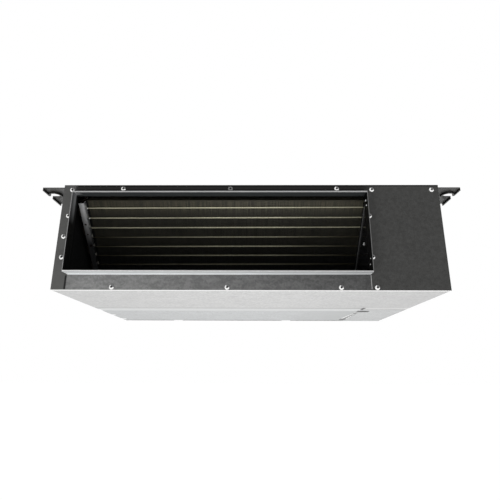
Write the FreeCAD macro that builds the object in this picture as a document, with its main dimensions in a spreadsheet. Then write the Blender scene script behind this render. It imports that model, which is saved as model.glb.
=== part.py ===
import FreeCAD, Part
import math
import os
import re
import Sketcher
from FreeCAD import Placement, Rotation, Vector

# Concealed ducted air conditioner indoor unit, hung from the ceiling by four lugs.
# X runs left to right seen from the outlet, Y from the outlet to the return, Z up.
# The origin is the centre of the casing's underside.  Millimetres and degrees.

doc = FreeCAD.newDocument("ducted_indoor_unit")
sheet = doc.addObject("Spreadsheet::Sheet", "Sizes")

SIZES = {
    # casing
    "body_wide": 700,
    "body_deep": 450,
    "body_tall": 200,
    "steel": 1,
    "fit_gap": 0.1,
    "fold": 12,
    "front_deep": 235,
    "seam": 1,
    "band_deep": 26,
    "box_wide": 95,
    "vent_wide": 26,
    "vent_tall": 5,
    # outlet and return collars
    "collar_left": 26,
    "cover_wide": 138,
    "collar_low": 28,
    "collar_top": 21,
    "collar_reach": 22.5,
    "collar_lap": 13,
    "collar_lap_left": 17,
    "return_left": 3,
    "return_right": 2,
    "return_low": 7,
    "return_top": 7,
    "return_reach": 28,
    # hanging lugs
    "lug_reach": 46,
    "lug_wide": 75,
    "lug_thick": 2,
    "lug_drop": 3,
    "lug_lip": 2,
    "lug_leg": 24,
    "lug_front": 47,
    "lug_pitch": 356,
    "hook_across": 24,
    "hook_reach": 30.5,
    "hook_lead": 11,
    "hook_rim": 2.5,
    "hook_flats": 12,
    "hook_mouth": 10,
    "mouth_lead": 2.5,
    # coil
    "coil_front": 10,
    "coil_top": 27,
    "coil_foot": 27,
    "tube_rows": 10,
    "tube_pitch": 21,
    "tube_columns": 2,
    "column_pitch": 13.3,
    "tube_across": 7,
    "fin_left": 38,
    "fin_past": 2,
    "fin_pitch": 22,
    "fin_groove": 6,
    "fin_rib": 2,
    "plate_gap": 4,
    "plate_thick": 1.2,
    "plate_flange": 11,
    "plate_hole": 4,
    "tube_sides": 6,
    "bend_steps": 3,
    "tube_bend": 14,
    # drain pan and linings
    "liner": 5,
    "side_foam": 10,
    "pan_tall": 30,
    "pan_floor": 11,
    "pan_wall": 8,
    "pan_right": 10,
    "drain_across": 20,
    "drain_bore": 16,
    "drain_reach": 24,
    "drain_collar": 1.5,
    "drain_gap": 0.3,
    "drain_high": 22,
    "drain_back": 150,
    # refrigerant pipes
    "pipe_back": 120,
    "pipes_apart": 30,
    "gas_high": 78,
    "liquid_high": 118,
    "gas_across": 9.52,
    "liquid_across": 6.35,
    "hex_gas": 19,
    "hex_liquid": 14,
    "hex_long": 14,
    "thread_gas": 15.88,
    "thread_liquid": 11.11,
    "thread_long": 20,
    "flare_long": 4,
    "seal_thick": 2,
    "seal_margin": 18,
    "seal_gap": 0.2,
    # fans
    "fan_back": 337,
    "fan_drop": 3,
    "wheel_radius": 62,
    "wheel_wide": 150,
    "wheel_blades": 15,
    "blade_deep": 10,
    "blade_thick": 1.2,
    "blade_lead": 14,
    "wheel_ring": 3,
    "wheel_disc": 2,
    "hub_across": 26,
    "hub_long": 28,
    "scroll_wide": 170,
    "scroll_wall": 2,
    "scroll_start": 68,
    "scroll_top": 9,
    "scroll_part": 18,
    "scroll_tongue": 195,
    "scroll_flats": 14,
    "scroll_flange": 8,
    "mouth_drop": 8,
    "inlet_radius": 51,
    "motor_room": 130,
    "shaft_across": 10,
    "shaft_fit": 0.05,
    "round_flats": 18,
    # motor
    "motor_across": 92,
    "motor_long": 76,
    "motor_shell": 2,
    "motor_boss": 36,
    "boss_long": 14,
    "rotor_across": 52,
    "air_gap": 0.8,
    "ring_across": 50,
    "ring_wide": 10,
    "ring_gap": 2,
    "bearing_across": 26,
    "bearing_wide": 8,
    "strap": 1.5,
    "strap_ear": 10,
    "bracket": 2,
    "bracket_foot": 20,
    "shelf_gap": 4,
    # filter
    "filter_thick": 7,
    "filter_border": 8,
    "filter_gap": 1,
    "filter_mesh": 0.8,
    "filter_ribs": 5,
    "filter_rib": 2,
    "filter_low": 1,
    "tab_left": 146,
    "tab_apart": 299,
    "tab_wide": 22,
    "tab_tall": 5,
    "tab_gap": 1,
    "rail_thick": 1,
    "rail_grip": 9,
    # electrical parts
    "board_thick": 1.6,
    "board_lift": 8,
    "board_back": 16,
    "board_low": 40,
    "board_deep": 110,
    "board_tall": 120,
    "board_edge": 12,
    "post_wide": 6,
    "post_inset": 3,
    "relay_deep": 20,
    "relay_tall": 28,
    "relay_rise": 16,
    "relay_gap": 6,
    "chip_side": 26,
    "chip_rise": 3,
    "socket_rise": 11,
    "socket_tall": 10,
    "strip_low": 20,
    "strip_long": 60,
    "strip_tall": 22,
    "strip_rise": 18,
    "strip_rib": 2,
    "core_side": 42,
    "core_low": 110,
    "core_rise": 30,
    "winding_step": 8,
    "can_low": 62,
    "can_long": 46,
    "can_tall": 30,
    "can_rise": 26,
    "gland_high": 60,
    "gland_across": 22,
    "gland_bore": 12,
    "gland_hex": 28,
    "gland_nut": 6,
    # screws
    "screw_head": 7.4,
    "screw_rise": 2.4,
    "screw_top": 8,
    "screw_low": 5,
    "screw_side": 6,
    "screw_corner": 10,
}

for row, (name, number) in enumerate(SIZES.items(), 1):
    sheet.set("A%d" % row, name)
    sheet.set("B%d" % row, str(number))
    sheet.setAlias("B%d" % row, name)
doc.recompute()

nodes = []


def size(name):
    return float(sheet.get(name))


def worth(expression):
    """Value of an expression over the sheet's sizes."""
    result = sheet.evalExpression(full(expression))
    return float(getattr(result, "Value", result))


def full(expression):
    """An expression with the sheet's name before each alias."""
    def lengthen(match):
        word = match.group()
        return "Sizes." + word if word in SIZES else word
    return re.sub(r"[a-z_]+", lengthen, expression)


def bind(thing, place, expression):
    thing.setExpression(place, full(expression))


def settle(thing, label, x="-body_wide/2", y="-body_deep/2", z="0*steel"):
    """Name a sub-part and place it; most are drawn from the casing's front left foot."""
    thing.Label = label
    bind(thing, "Placement.Base.x", x)
    bind(thing, "Placement.Base.y", y)
    bind(thing, "Placement.Base.z", z)
    nodes.append(thing)
    return thing


def new_body(label, **place):
    body = doc.addObject("PartDesign::Body", label)
    return settle(body, label, **place)


def rect(left, low, right, high):
    """Corners of a rectangle, each an expression."""
    return [(left, low), (right, low), (right, high), (left, high)]


def flats_about(x, y, radius, count):
    """Corners of a regular outline whose flats lie at the radius."""
    reach = "(%s) / cos(%g)" % (radius, 180 / count)
    turns = [360 * (i + 0.5) / count for i in range(count)]
    return [("%s + %s * cos(%g)" % (x, reach, turn), "%s + %s * sin(%g)" % (y, reach, turn))
            for turn in turns]


def draw(body, role, at, *loops):
    """Sketch loops on a plane parallel to one of the body's own, at a distance from it.

    A loop is a list of corners, or (centre, centre, radius) for a circle.
    """
    sketch = body.newObject("Sketcher::SketchObject", "Sketch")
    plane = [item for item in body.Origin.OriginFeatures if item.Role == role + "_Plane"][0]
    sketch.AttachmentSupport = [(plane, "")]
    sketch.MapMode = "FlatFace"
    sign = "-1" if role == "XZ" else "1"
    bind(sketch, "AttachmentOffset.Base.z", "%s * (%s)" % (sign, at))
    for loop in loops:
        if isinstance(loop, tuple):
            draw_circle(sketch, *loop)
        else:
            draw_corners(sketch, loop)
    return sketch


def pin_down(sketch, geometry, point, x, y):
    for kind, expression in (("DistanceX", x), ("DistanceY", y)):
        index = sketch.addConstraint(Sketcher.Constraint(kind, -1, 1, geometry, point, 1.0))
        bind(sketch, "Constraints[%d]" % index, expression)


def draw_circle(sketch, x, y, radius):
    circle = sketch.addGeometry(Part.Circle(Vector(1, 1, 0), Vector(0, 0, 1), 1), False)
    pin_down(sketch, circle, 3, x, y)
    index = sketch.addConstraint(Sketcher.Constraint("Radius", circle, 1.0))
    bind(sketch, "Constraints[%d]" % index, radius)


def draw_corners(sketch, corners):
    count = len(corners)
    first = sketch.GeometryCount
    spots = [Vector(math.cos(2 * math.pi * i / count), math.sin(2 * math.pi * i / count), 0)
             for i in range(count)]
    for i in range(count):
        sketch.addGeometry(Part.LineSegment(spots[i], spots[(i + 1) % count]), False)
    for i in range(count):
        after = first + (i + 1) % count
        sketch.addConstraint(Sketcher.Constraint("Coincident", first + i, 2, after, 1))
    for i, (x, y) in enumerate(corners):
        pin_down(sketch, first + i, 1, x, y)


def pad(body, role, at, length, *loops):
    """Add material from the drawing towards the plus side of its axis."""
    solid = body.newObject("PartDesign::Pad", "Pad")
    solid.Profile = draw(body, role, at, *loops)
    bind(solid, "Length", length)
    solid.Reversed = role == "XZ"
    body.Tip = solid
    return solid


def cut(body, role, at, length, *loops):
    """Remove material from the drawing towards the plus side of its axis."""
    hollow = body.newObject("PartDesign::Pocket", "Pocket")
    hollow.Profile = draw(body, role, at, *loops)
    bind(hollow, "Length", length)
    hollow.Reversed = role != "XZ"
    body.Tip = hollow
    return hollow


def repeat(body, features, axis, length, count):
    """Repeat features in a row along one of the body's own axes."""
    pattern = body.newObject("PartDesign::LinearPattern", "Row")
    pattern.Originals = features
    line = [item for item in body.Origin.OriginFeatures if item.Role == axis + "_Axis"][0]
    pattern.Direction = (line, [""])
    bind(pattern, "Length", length)
    bind(pattern, "Occurrences", count)
    body.Tip = pattern
    return pattern


def feature(label, shape, **place):
    """A sub-part whose shape is worked out here from the sheet's sizes."""
    thing = doc.addObject("Part::Feature", label)
    thing.Shape = shape
    return settle(thing, label, **place)


def rod(x, y, z, radius, length, axis=Vector(1, 0, 0)):
    return Part.makeCylinder(radius, length, Vector(x, y, z), axis)


def tube(x, y, z, outer, inner, length, axis=Vector(1, 0, 0)):
    return rod(x, y, z, outer, length, axis).cut(rod(x, y, z, inner, length, axis))


def block(x, y, z, wide, deep, tall):
    return Part.makeBox(wide, deep, tall, Vector(x, y, z))


def prism(x, radius, length, sides):
    """A bar of many flats about the X axis, its flats at the radius of the round one."""
    ring = ring_of(Vector(x, 0, 0), Vector(1, 0, 0), radius, sides)
    return Part.Face(ring).extrude(Vector(length, 0, 0))


def fused(shapes):
    return shapes[0].multiFuse(shapes[1:]).removeSplitter()


# Places shared by several sub-parts, drawn from the casing's front left foot.
COLLAR_RIGHT = "(body_wide - cover_wide)"
COLLAR_TOP = "(body_tall - collar_top)"
BOX_LEFT = "(body_wide - box_wide)"
REAR_START = "(front_deep + seam)"
ROOM_RIGHT = "(body_wide - box_wide - seam)"
RETURN_RIGHT = "(%s - return_right)" % ROOM_RIGHT
RETURN_TOP = "(body_tall - return_top)"
LUG_UNDER = "(body_tall - lug_drop - lug_thick)"
FILTER_REAR = "(body_deep - 3 * steel)"
FILTER_FRONT = "(body_deep - 3 * steel - filter_thick)"
FILTER_LEFT = "(return_left + 2 * steel)"
FILTER_RIGHT = "(%s - 2 * steel)" % RETURN_RIGHT
FILTER_MIDDLE = "((filter_low + %s) / 2)" % RETURN_TOP
TAB_PLACES = ("tab_left", "(tab_left + tab_apart)")
COIL_LONG = "(tube_rows * tube_pitch)"
COIL_THICK = "(tube_columns * column_pitch)"
PLATE_LEFT = "(fin_left - plate_gap - plate_thick)"
COIL_HIGH = "(body_tall - coil_top)"
COIL_TILT = "asin((%s - coil_foot) / %s)" % (COIL_HIGH, COIL_LONG)
FIN_RIGHT = "(%s + fin_past)" % COLLAR_RIGHT
PAN_TOP = "(2 * steel + pan_tall)"
DRAIN_COLLAR = "(drain_across / 2 + drain_collar)"
LINER_LOW = "(body_tall - 2 * steel - liner)"
ROOM_MIDDLE = "((return_left + %s) / 2)" % RETURN_RIGHT
SCROLL_LEFT = "(%s - motor_room / 2 - scroll_wide)" % ROOM_MIDDLE
SCROLL_RIGHT = "(%s + motor_room / 2)" % ROOM_MIDDLE
MOTOR_MIDDLE = "(%s - body_wide / 2)" % ROOM_MIDDLE
FAN_HIGH = "(body_tall / 2 - fan_drop)"
MOUTH_LOW = "(%s - scroll_start * sin(scroll_tongue - 180) - mouth_drop)" % FAN_HIGH
SCROLL_END = "(body_tall - %s - scroll_top)" % FAN_HIGH
FAN_AXIS = {"y": "fan_back - body_deep / 2", "z": FAN_HIGH}


def front_screw_places():
    """Places of the front face's screws, across and up from its lower left corner."""
    tall = size("body_tall")
    wide = size("body_wide")
    left = size("collar_left")
    right = worth(COLLAR_RIGHT)
    span = right - left
    corner = size("screw_corner")
    low = size("screw_low")
    places = [(left + span * share, tall - size("screw_top")) for share in (0.16, 0.535, 0.905)]
    places += [(left + span * share, low) for share in (0.152, 0.53, 0.902)]
    places += [(left * share, tall * up) for share, up in ((0.48, 0.295), (0.43, 0.49), (0.57, 0.69))]
    places += [(right + size("screw_side"), tall * up) for up in (0.3, 0.69)]
    places += [(left - corner, tall - corner), (right + 1.4 * corner, tall - corner),
               (wide - 1.3 * corner, tall - corner), (right + corner, low)]
    return places


def make_casing():
    top = new_body("top_panel")
    pad(top, "XY", "body_tall - steel", "steel", rect("0", "0", "body_wide", "body_deep"))
    pad(top, "XZ", "0", "steel",
        rect("collar_left", COLLAR_TOP, COLLAR_RIGHT, "body_tall - steel"))

    left = new_body("left_side_panel")
    pad(left, "YZ", "0", "steel", rect("0", "steel", "body_deep - steel", "body_tall - steel"))
    pad(left, "XZ", "0", "steel",
        rect("steel", "steel", "collar_left", "body_tall - steel"))
    add_side_folds(left, "steel", "steel + fold", "body_deep - steel")
    cut_lug_slots(left, "0", "lug_front", "lug_front + lug_pitch")

    right = new_body("right_side_panel")
    pad(right, "YZ", "body_wide - steel", "steel",
        rect("steel", "steel", "front_deep", "body_tall - steel"),
        ("pipe_back", "gas_high", "gas_across"),
        ("pipe_back", "liquid_high", "liquid_across"),
        flats_about("drain_back", "drain_high", DRAIN_COLLAR + " + drain_gap", 12))
    pad(right, "XY", "body_tall - 2 * steel", "steel",
        rect("body_wide - steel - fold", "2 * steel", "body_wide - steel", "front_deep"))
    pad(right, "XY", "steel", "steel",
        rect("body_wide - steel - fold", "2 * steel", "body_wide - steel", "front_deep - fold"))
    cut_lug_slots(right, "body_wide - steel", "lug_front")

    cover = new_body("right_front_cover")
    pad(cover, "XZ", "0", "steel",
        rect(COLLAR_RIGHT, "steel", "body_wide", "body_tall - steel"))

    floor = new_body("bottom_front_panel")
    pad(floor, "XY", "0", "steel", rect("0", "0", "body_wide", "front_deep"))
    pad(floor, "XZ", "0", "steel",
        rect("collar_left", "steel", COLLAR_RIGHT, "collar_low"))

    rear = new_body("bottom_rear_panel")
    band_end = "%s + band_deep" % REAR_START
    pad(rear, "XY", "0", "steel",
        rect("0", band_end, ROOM_RIGHT, FILTER_FRONT + " - steel"))
    pad(rear, "YZ", "steel", ROOM_RIGHT + " - steel",
        [(band_end, "0"), (band_end, "steel"), ("front_deep", "2 * steel"),
         ("front_deep - fold", "2 * steel"), ("front_deep - fold", "steel"),
         (REAR_START, "steel")])


def add_side_folds(side, near, far, end):
    """Folds of a side panel under the top panel, over the bottom panels and at the rear."""
    pad(side, "XY", "body_tall - 2 * steel", "steel", rect(near, "steel", far, end))
    pad(side, "XY", "steel", "steel",
        rect(near, "steel", far, "front_deep - fold - steel"))
    pad(side, "XY", "steel", "steel",
        rect(near, REAR_START + " + band_deep", far, FILTER_FRONT + " - 3 * steel"))


def cut_lug_slots(side, near, *places):
    for place in places:
        cut(side, "YZ", near, "steel",
            rect("%s - lug_wide / 2 - fit_gap" % place, LUG_UNDER + " - fit_gap",
                 "%s + lug_wide / 2 + fit_gap" % place, LUG_UNDER + " + lug_thick + fit_gap"))


def make_collars():
    outlet = new_body("outlet_collar")
    inner = rect("collar_left + steel", "collar_low + steel",
                 COLLAR_RIGHT + " - steel", COLLAR_TOP + " - steel")
    outer = rect("collar_left", "collar_low", COLLAR_RIGHT, COLLAR_TOP)
    pad(outlet, "XZ", "steel", "steel",
        rect("collar_left - collar_lap_left", "2 * steel + seam / 2",
             COLLAR_RIGHT + " + collar_lap", "body_tall - 2 * steel - seam / 2"),
        inner)
    pad(outlet, "XZ", "-collar_reach", "collar_reach + steel", outer, inner)

    back = new_body("return_collar")
    inner = rect("return_left + steel", "return_low + steel",
                 RETURN_RIGHT + " - steel", RETURN_TOP + " - steel")
    outer = rect("return_left", "return_low", RETURN_RIGHT, RETURN_TOP)
    pad(back, "XZ", "body_deep - steel", "steel",
        rect("0", "0", ROOM_RIGHT, "body_tall - steel"), inner)
    pad(back, "XZ", "body_deep", "return_reach", outer, inner)
    for middle in TAB_PLACES:
        cut(back, "XZ", "body_deep - steel", "steel",
            rect(middle + " - tab_wide / 2 - tab_gap", "-steel",
                 middle + " + tab_wide / 2 + tab_gap", "filter_low + tab_tall + tab_gap"))


def make_lug(label, side, x, y):
    """A hanging lug: plate with a hook opening for the rod, a turned-down lip and a leg.

    The side is -1 for the left of the casing and 1 for its right.
    """
    lug = new_body(label, x=x, y=y, z=LUG_UNDER)
    half = "lug_wide / 2"
    tip = "%d * lug_reach" % side
    inside = "%d * (steel + lug_thick)" % -side
    pad(lug, "XY", "0", "lug_thick", rect(inside, "-" + half, tip, half))
    leg = "steel" if side < 0 else "-steel - lug_thick"
    pad(lug, "YZ", leg, "lug_thick", rect("-" + half, "-lug_leg", half, "0"))
    lip = "-lug_reach" if side < 0 else "lug_reach - lug_thick"
    pad(lug, "YZ", lip, "lug_thick", rect("-" + half, "-lug_lip", half, "0"))
    hook = "%d * hook_reach" % side
    flats = int(size("hook_flats"))
    pad(lug, "XY", "-lug_lip", "lug_lip",
        flats_about(hook, "-hook_lead", "hook_across / 2 + hook_rim", flats))
    whole = "lug_lip + lug_thick"
    cut(lug, "XY", "-lug_lip", whole, flats_about(hook, "-hook_lead", "hook_across / 2", flats))
    cut(lug, "XY", "-lug_lip", whole,
        rect(tip, "-mouth_lead - hook_mouth / 2", hook, "-mouth_lead + hook_mouth / 2"))


def make_lugs():
    for place, y in (("front", "lug_front - body_deep / 2"),
                     ("rear", "lug_front + lug_pitch - body_deep / 2")):
        make_lug("lug_%s_left" % place, -1, "-body_wide / 2", y)
        make_lug("lug_%s_right" % place, 1, "body_wide / 2", y)


COIL = {"y": "coil_front - body_deep / 2", "z": COIL_HIGH}


def tilt_coil(thing):
    """Lean a coil piece: its Y runs down the slope and its Z through the fins."""
    thing.Placement.Rotation = Rotation(Vector(-1, 0, 0), worth(COIL_TILT))
    bind(thing, "Placement.Rotation.Angle", COIL_TILT)
    return thing


def tube_spots():
    """Place of each tube, by column and row: down the slope and through the fins."""
    pitch = size("tube_pitch")
    spots = {}
    for column in range(int(size("tube_columns"))):
        lead = pitch * (0.75 if column % 2 == 0 else 0.25)
        for row in range(int(size("tube_rows"))):
            spots[column, row] = (lead + row * pitch, size("column_pitch") * (column + 0.5))
    return spots


def make_fin_pack():
    """Fin block with its tubes expanded in it; grooves part the fins at both faces."""
    fins = tilt_coil(new_body("fin_pack", **COIL))
    wide = "(%s - fin_left)" % FIN_RIGHT
    pad(fins, "YZ", "fin_left", wide, rect("0", "0", COIL_LONG, COIL_THICK))
    first = "fin_left + fin_rib"
    last = "fin_left + fin_pitch"
    front = cut(fins, "XY", "0", "fin_groove", rect(first, "0", last, COIL_LONG))
    back = cut(fins, "XY", COIL_THICK + " - fin_groove", "fin_groove",
               rect(first, "0", last, COIL_LONG))
    count = "floor(%s / fin_pitch)" % wide
    repeat(fins, [front, back], "X", "fin_pitch * (%s - 1)" % count, count)


def make_coil_plate():
    """Left end plate of the coil with the flange that shows through the outlet."""
    plate = tilt_coil(new_body("coil_end_plate", **COIL))
    pad(plate, "YZ", PLATE_LEFT, "plate_thick", rect("0", "0", COIL_LONG, COIL_THICK))
    holes = [("%s - plate_flange / 2" % PLATE_LEFT, "tube_pitch * %s" % (row + 1.25),
              "plate_hole / 2") for row in (1, 4, 7)]
    pad(plate, "XY", "-plate_thick", "plate_thick",
        rect("%s - plate_flange" % PLATE_LEFT, "0", "%s + plate_thick" % PLATE_LEFT, COIL_LONG),
        *holes)
    start = size("fin_left") - size("plate_gap")
    reach = Vector(size("plate_gap"), 0, 0)
    stubs = []
    for along, depth in tube_spots().values():
        ring = ring_of(Vector(start, along, depth), Vector(1, 0, 0), size("tube_across") / 2,
                       int(size("tube_sides")))
        stubs.append(Part.Face(ring).extrude(reach))
    tilt_coil(feature("coil_tubes", Part.makeCompound(stubs), **COIL))


def make_room_wall():
    """Wall between the air path and the pipe room; it carries the coil's right end."""
    wall = new_body("pipe_room_wall")
    pad(wall, "YZ", FIN_RIGHT, "plate_thick",
        rect("2 * steel", PAN_TOP, "front_deep", LINER_LOW))


def ring_of(start, direction, radius, sides):
    """Flat-sided section of a small tube, its flats as far from the axis as its wall."""
    across = Vector(0, 0, 1).cross(direction).normalize()
    upward = direction.cross(across).normalize()
    reach = radius / math.cos(math.pi / sides)
    turns = [2 * math.pi * (i + 0.5) / sides for i in range(sides + 1)]
    return Part.makePolygon([start + across * (reach * math.cos(turn))
                             + upward * (reach * math.sin(turn)) for turn in turns])


def swept(path, direction, radius):
    """A small tube along a path, with the flat sides that keep its faces few."""
    start = path.OrderedVertexes[0].Point
    ring = ring_of(start, direction, radius, int(size("tube_sides")))
    return path.makePipeShell([ring], True, False, 1)


def bend(x, first, second, side):
    """Half round tube bend standing on the plane at x, towards side 1 (right) or -1 (left)."""
    start = Vector(x, *first)
    finish = Vector(x, *second)
    middle = (start + finish) * 0.5
    half = start - middle
    out = Vector(side * half.Length, 0, 0)
    steps = int(size("bend_steps"))
    points = []
    for i in range(steps + 1):
        turn = math.pi * i / steps
        points.append(middle + half * math.cos(turn) + out * math.sin(turn))
    stub = Vector(side * 2, 0, 0)
    points = [start] + [point + stub for point in points] + [finish]
    return swept(Part.makePolygon(points), Vector(side, 0, 0), size("tube_across") / 2)


def make_tube_bends():
    rows = int(size("tube_rows"))
    columns = range(int(size("tube_columns")))
    left = size("fin_left") - size("plate_gap") - size("plate_thick")
    right = worth(FIN_RIGHT) + size("plate_thick")
    spots = tube_spots()
    pins = [bend(left, spots[c, r], spots[c, r + 1], -1)
            for c in columns for r in range(0, rows - 1, 2)]
    caps = [bend(right, spots[c, r], spots[c, r + 1], 1)
            for c in columns for r in range(1, rows - 2, 2)]
    caps.append(bend(right, spots[0, 0], spots[1, 0], 1))
    tilt_coil(feature("hairpin_bends", Part.makeCompound(pins), **COIL))
    tilt_coil(feature("return_bends", Part.makeCompound(caps), **COIL))


def coil_spot(column, row):
    """A tube end of the coil, from the casing's front left foot."""
    along, depth = tube_spots()[column, row]
    lean = math.radians(worth(COIL_TILT))
    back = size("coil_front") + along * math.cos(lean) + depth * math.sin(lean)
    high = worth(COIL_HIGH) - along * math.sin(lean) + depth * math.cos(lean)
    return back, high


def rounded(points, radius, steps):
    """A path of straight runs whose corners are taken in a few steps along an arc."""
    path = [points[0]]
    for before, corner, after in zip(points, points[1:], points[2:]):
        to_before = (before - corner).normalize()
        to_after = (after - corner).normalize()
        half = to_before.getAngle(to_after) / 2
        centre = corner + (to_before + to_after).normalize() * (radius / math.sin(half))
        start = corner + to_before * (radius / math.tan(half)) - centre
        finish = corner + to_after * (radius / math.tan(half)) - centre
        sweep = start.getAngle(finish)
        for i in range(steps + 1):
            turn = sweep * i / steps
            point = (start * math.sin(sweep - turn) + finish * math.sin(turn)) / math.sin(sweep)
            path.append(centre + point)
    return path + [points[-1]]


def make_pipes():
    """Copper pipes from the coil to the unions on the right side."""
    coil_face = worth(FIN_RIGHT) + size("plate_thick")
    side = size("body_wide") + size("seal_thick")
    middle = (coil_face + side) / 2
    for name, column, side_step in (("gas", 1, -1), ("liquid", 0, 1)):
        back, high = coil_spot(column, int(size("tube_rows")) - 1)
        turn = middle + side_step * size("pipes_apart") / 2
        points = [Vector(coil_face, back, high), Vector(turn, back, high),
                  Vector(turn, size("pipe_back"), size(name + "_high")),
                  Vector(side, size("pipe_back"), size(name + "_high"))]
        path = Part.makePolygon(rounded(points, size("tube_bend"), 3))
        feature(name + "_pipe", swept(path, Vector(1, 0, 0), size(name + "_across") / 2))


def make_unions():
    """Brass flare unions, their hexagons against the seal plate."""
    for name, thread, flats in (("gas", "thread_gas", "hex_gas"),
                                ("liquid", "thread_liquid", "hex_liquid")):
        union = new_body(name + "_union", x="body_wide / 2 + seal_thick",
                         y="pipe_back - body_deep / 2", z=name + "_high")
        pad(union, "YZ", "0", "hex_long", flats_about("0", "0", flats + " / 2", 6))
        bore = name + "_across / 2"
        end = "hex_long + thread_long"
        turn(union, [("hex_long", bore), ("hex_long", thread + " / 2"),
                     (end + " - flare_long", thread + " / 2"), (end, bore)])
        cut(union, "YZ", "0", end, ("0", "0", bore))
    seal = new_body("pipe_seal")
    margin = "seal_margin"
    pad(seal, "YZ", "body_wide", "seal_thick",
        rect("pipe_back - " + margin, "gas_high - " + margin,
             "pipe_back + " + margin, "liquid_high + " + margin),
        *[flats_about("pipe_back", name + "_high",
                      "%s_across / 2 / cos(180 / tube_sides) + seal_gap" % name, 12)
          for name in ("gas", "liquid")])


def turn(body, corners):
    """Revolve a closed outline (along X, out from the axis) about the body's X axis."""
    solid = body.newObject("PartDesign::Revolution", "Turned")
    solid.Profile = draw(body, "XZ", "0", corners)
    axis = [item for item in body.Origin.OriginFeatures if item.Role == "X_Axis"][0]
    solid.ReferenceAxis = (axis, [""])
    solid.Angle = 360
    body.Tip = solid
    return solid


def make_pan_and_linings():
    pan = new_body("drain_pan")
    left = "steel + lug_thick"
    right = "body_wide - pan_right"
    pad(pan, "XY", "2 * steel", "pan_tall", rect(left, "2 * steel", right, "front_deep - steel"))
    cut(pan, "XY", "2 * steel + pan_floor", "pan_tall - pan_floor",
        rect(left + " + pan_wall", "2 * steel + pan_wall",
             right + " - pan_wall", "front_deep - steel - pan_wall"))
    cut(pan, "YZ", right + " - pan_wall", "pan_wall",
        ("drain_back", "drain_high", "drain_bore / 2"))
    stub = new_body("drain_stub", x="body_wide / 2 - pan_right",
                    y="drain_back - body_deep / 2", z="drain_high")
    long = "pan_right + steel + drain_reach"
    pad(stub, "YZ", "0", long, ("0", "0", "drain_across / 2"))
    pad(stub, "YZ", "0", "pan_right + steel", flats_about("0", "0", DRAIN_COLLAR, 12))
    cut(stub, "YZ", "0", long, ("0", "0", "drain_bore / 2"))

    foam = new_body("side_lining")
    pad(foam, "XY", PAN_TOP, "%s - %s" % (LINER_LOW, PAN_TOP),
        rect(left, "2 * steel", left + " + side_foam", "front_deep"))
    lining = new_body("top_lining")
    pad(lining, "XY", LINER_LOW, "liner",
        rect(left + " + side_foam", "2 * steel", FIN_RIGHT + " + plate_thick", "front_deep"))


def make_deck():
    """Partition between the fans and the coil, with a window for each fan."""
    deck = new_body("fan_deck")
    windows = [rect(left + " + scroll_wall", MOUTH_LOW, left + " + scroll_wide - scroll_wall",
                    "%s + %s" % (FAN_HIGH, SCROLL_END)) for left in (SCROLL_LEFT, SCROLL_RIGHT)]
    pad(deck, "XZ", REAR_START, "steel",
        rect("steel", "2 * steel", ROOM_RIGHT, "body_tall - 2 * steel"), *windows)


def scroll_outline(grow, front):
    """Face of a fan scroll seen along X: a widening spiral and the mouth towards the deck."""
    begin = size("scroll_tongue")
    start = size("scroll_start")
    steps = int(size("scroll_flats"))
    corners = []
    for i in range(steps + 1):
        share = i / steps
        angle = math.radians(begin + (450 - begin) * share)
        reach = start + (worth(SCROLL_END) - start) * share + grow
        corners.append(Vector(0, reach * math.cos(angle), reach * math.sin(angle)))
    low = corners[0].z - size("mouth_drop")
    corners += [Vector(0, front, corners[-1].z), Vector(0, front, low), corners[0]]
    return Part.Face(Part.makePolygon(corners))


def make_scrolls():
    wide = size("scroll_wide")
    wall = size("scroll_wall")
    front = size("front_deep") + size("seam") + size("steel") - size("fan_back")
    outer = scroll_outline(wall, front).extrude(Vector(wide, 0, 0))
    inner = scroll_outline(0, front - 1).extrude(Vector(wide - 2 * wall, 0, 0))
    inner.translate(Vector(wall, 0, 0))
    inlet = prism(-1, size("inlet_radius"), wide + 2, int(size("round_flats")))
    shell = outer.cut(inner).cut(inlet)
    tongue = -size("scroll_start") * math.sin(math.radians(size("scroll_tongue") - 180))
    low = tongue - size("mouth_drop")
    flange = size("scroll_flange")
    tall = worth(SCROLL_END) - low
    for x in (-flange, wide):
        shell = shell.fuse(block(x, front, low, flange, wall, tall))
    reach = size("body_tall")
    part = tongue + size("scroll_part")
    halves = {"upper": block(-reach, -reach, part, 3 * reach, 3 * reach, reach),
              "lower": block(-reach, -reach, part - reach, 3 * reach, 3 * reach, reach)}
    for side, left in (("left", SCROLL_LEFT), ("right", SCROLL_RIGHT)):
        for half, region in halves.items():
            feature("%s_scroll_%s" % (side, half), shell.common(region).removeSplitter(),
                    x=left + " - body_wide / 2", **FAN_AXIS)


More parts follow.
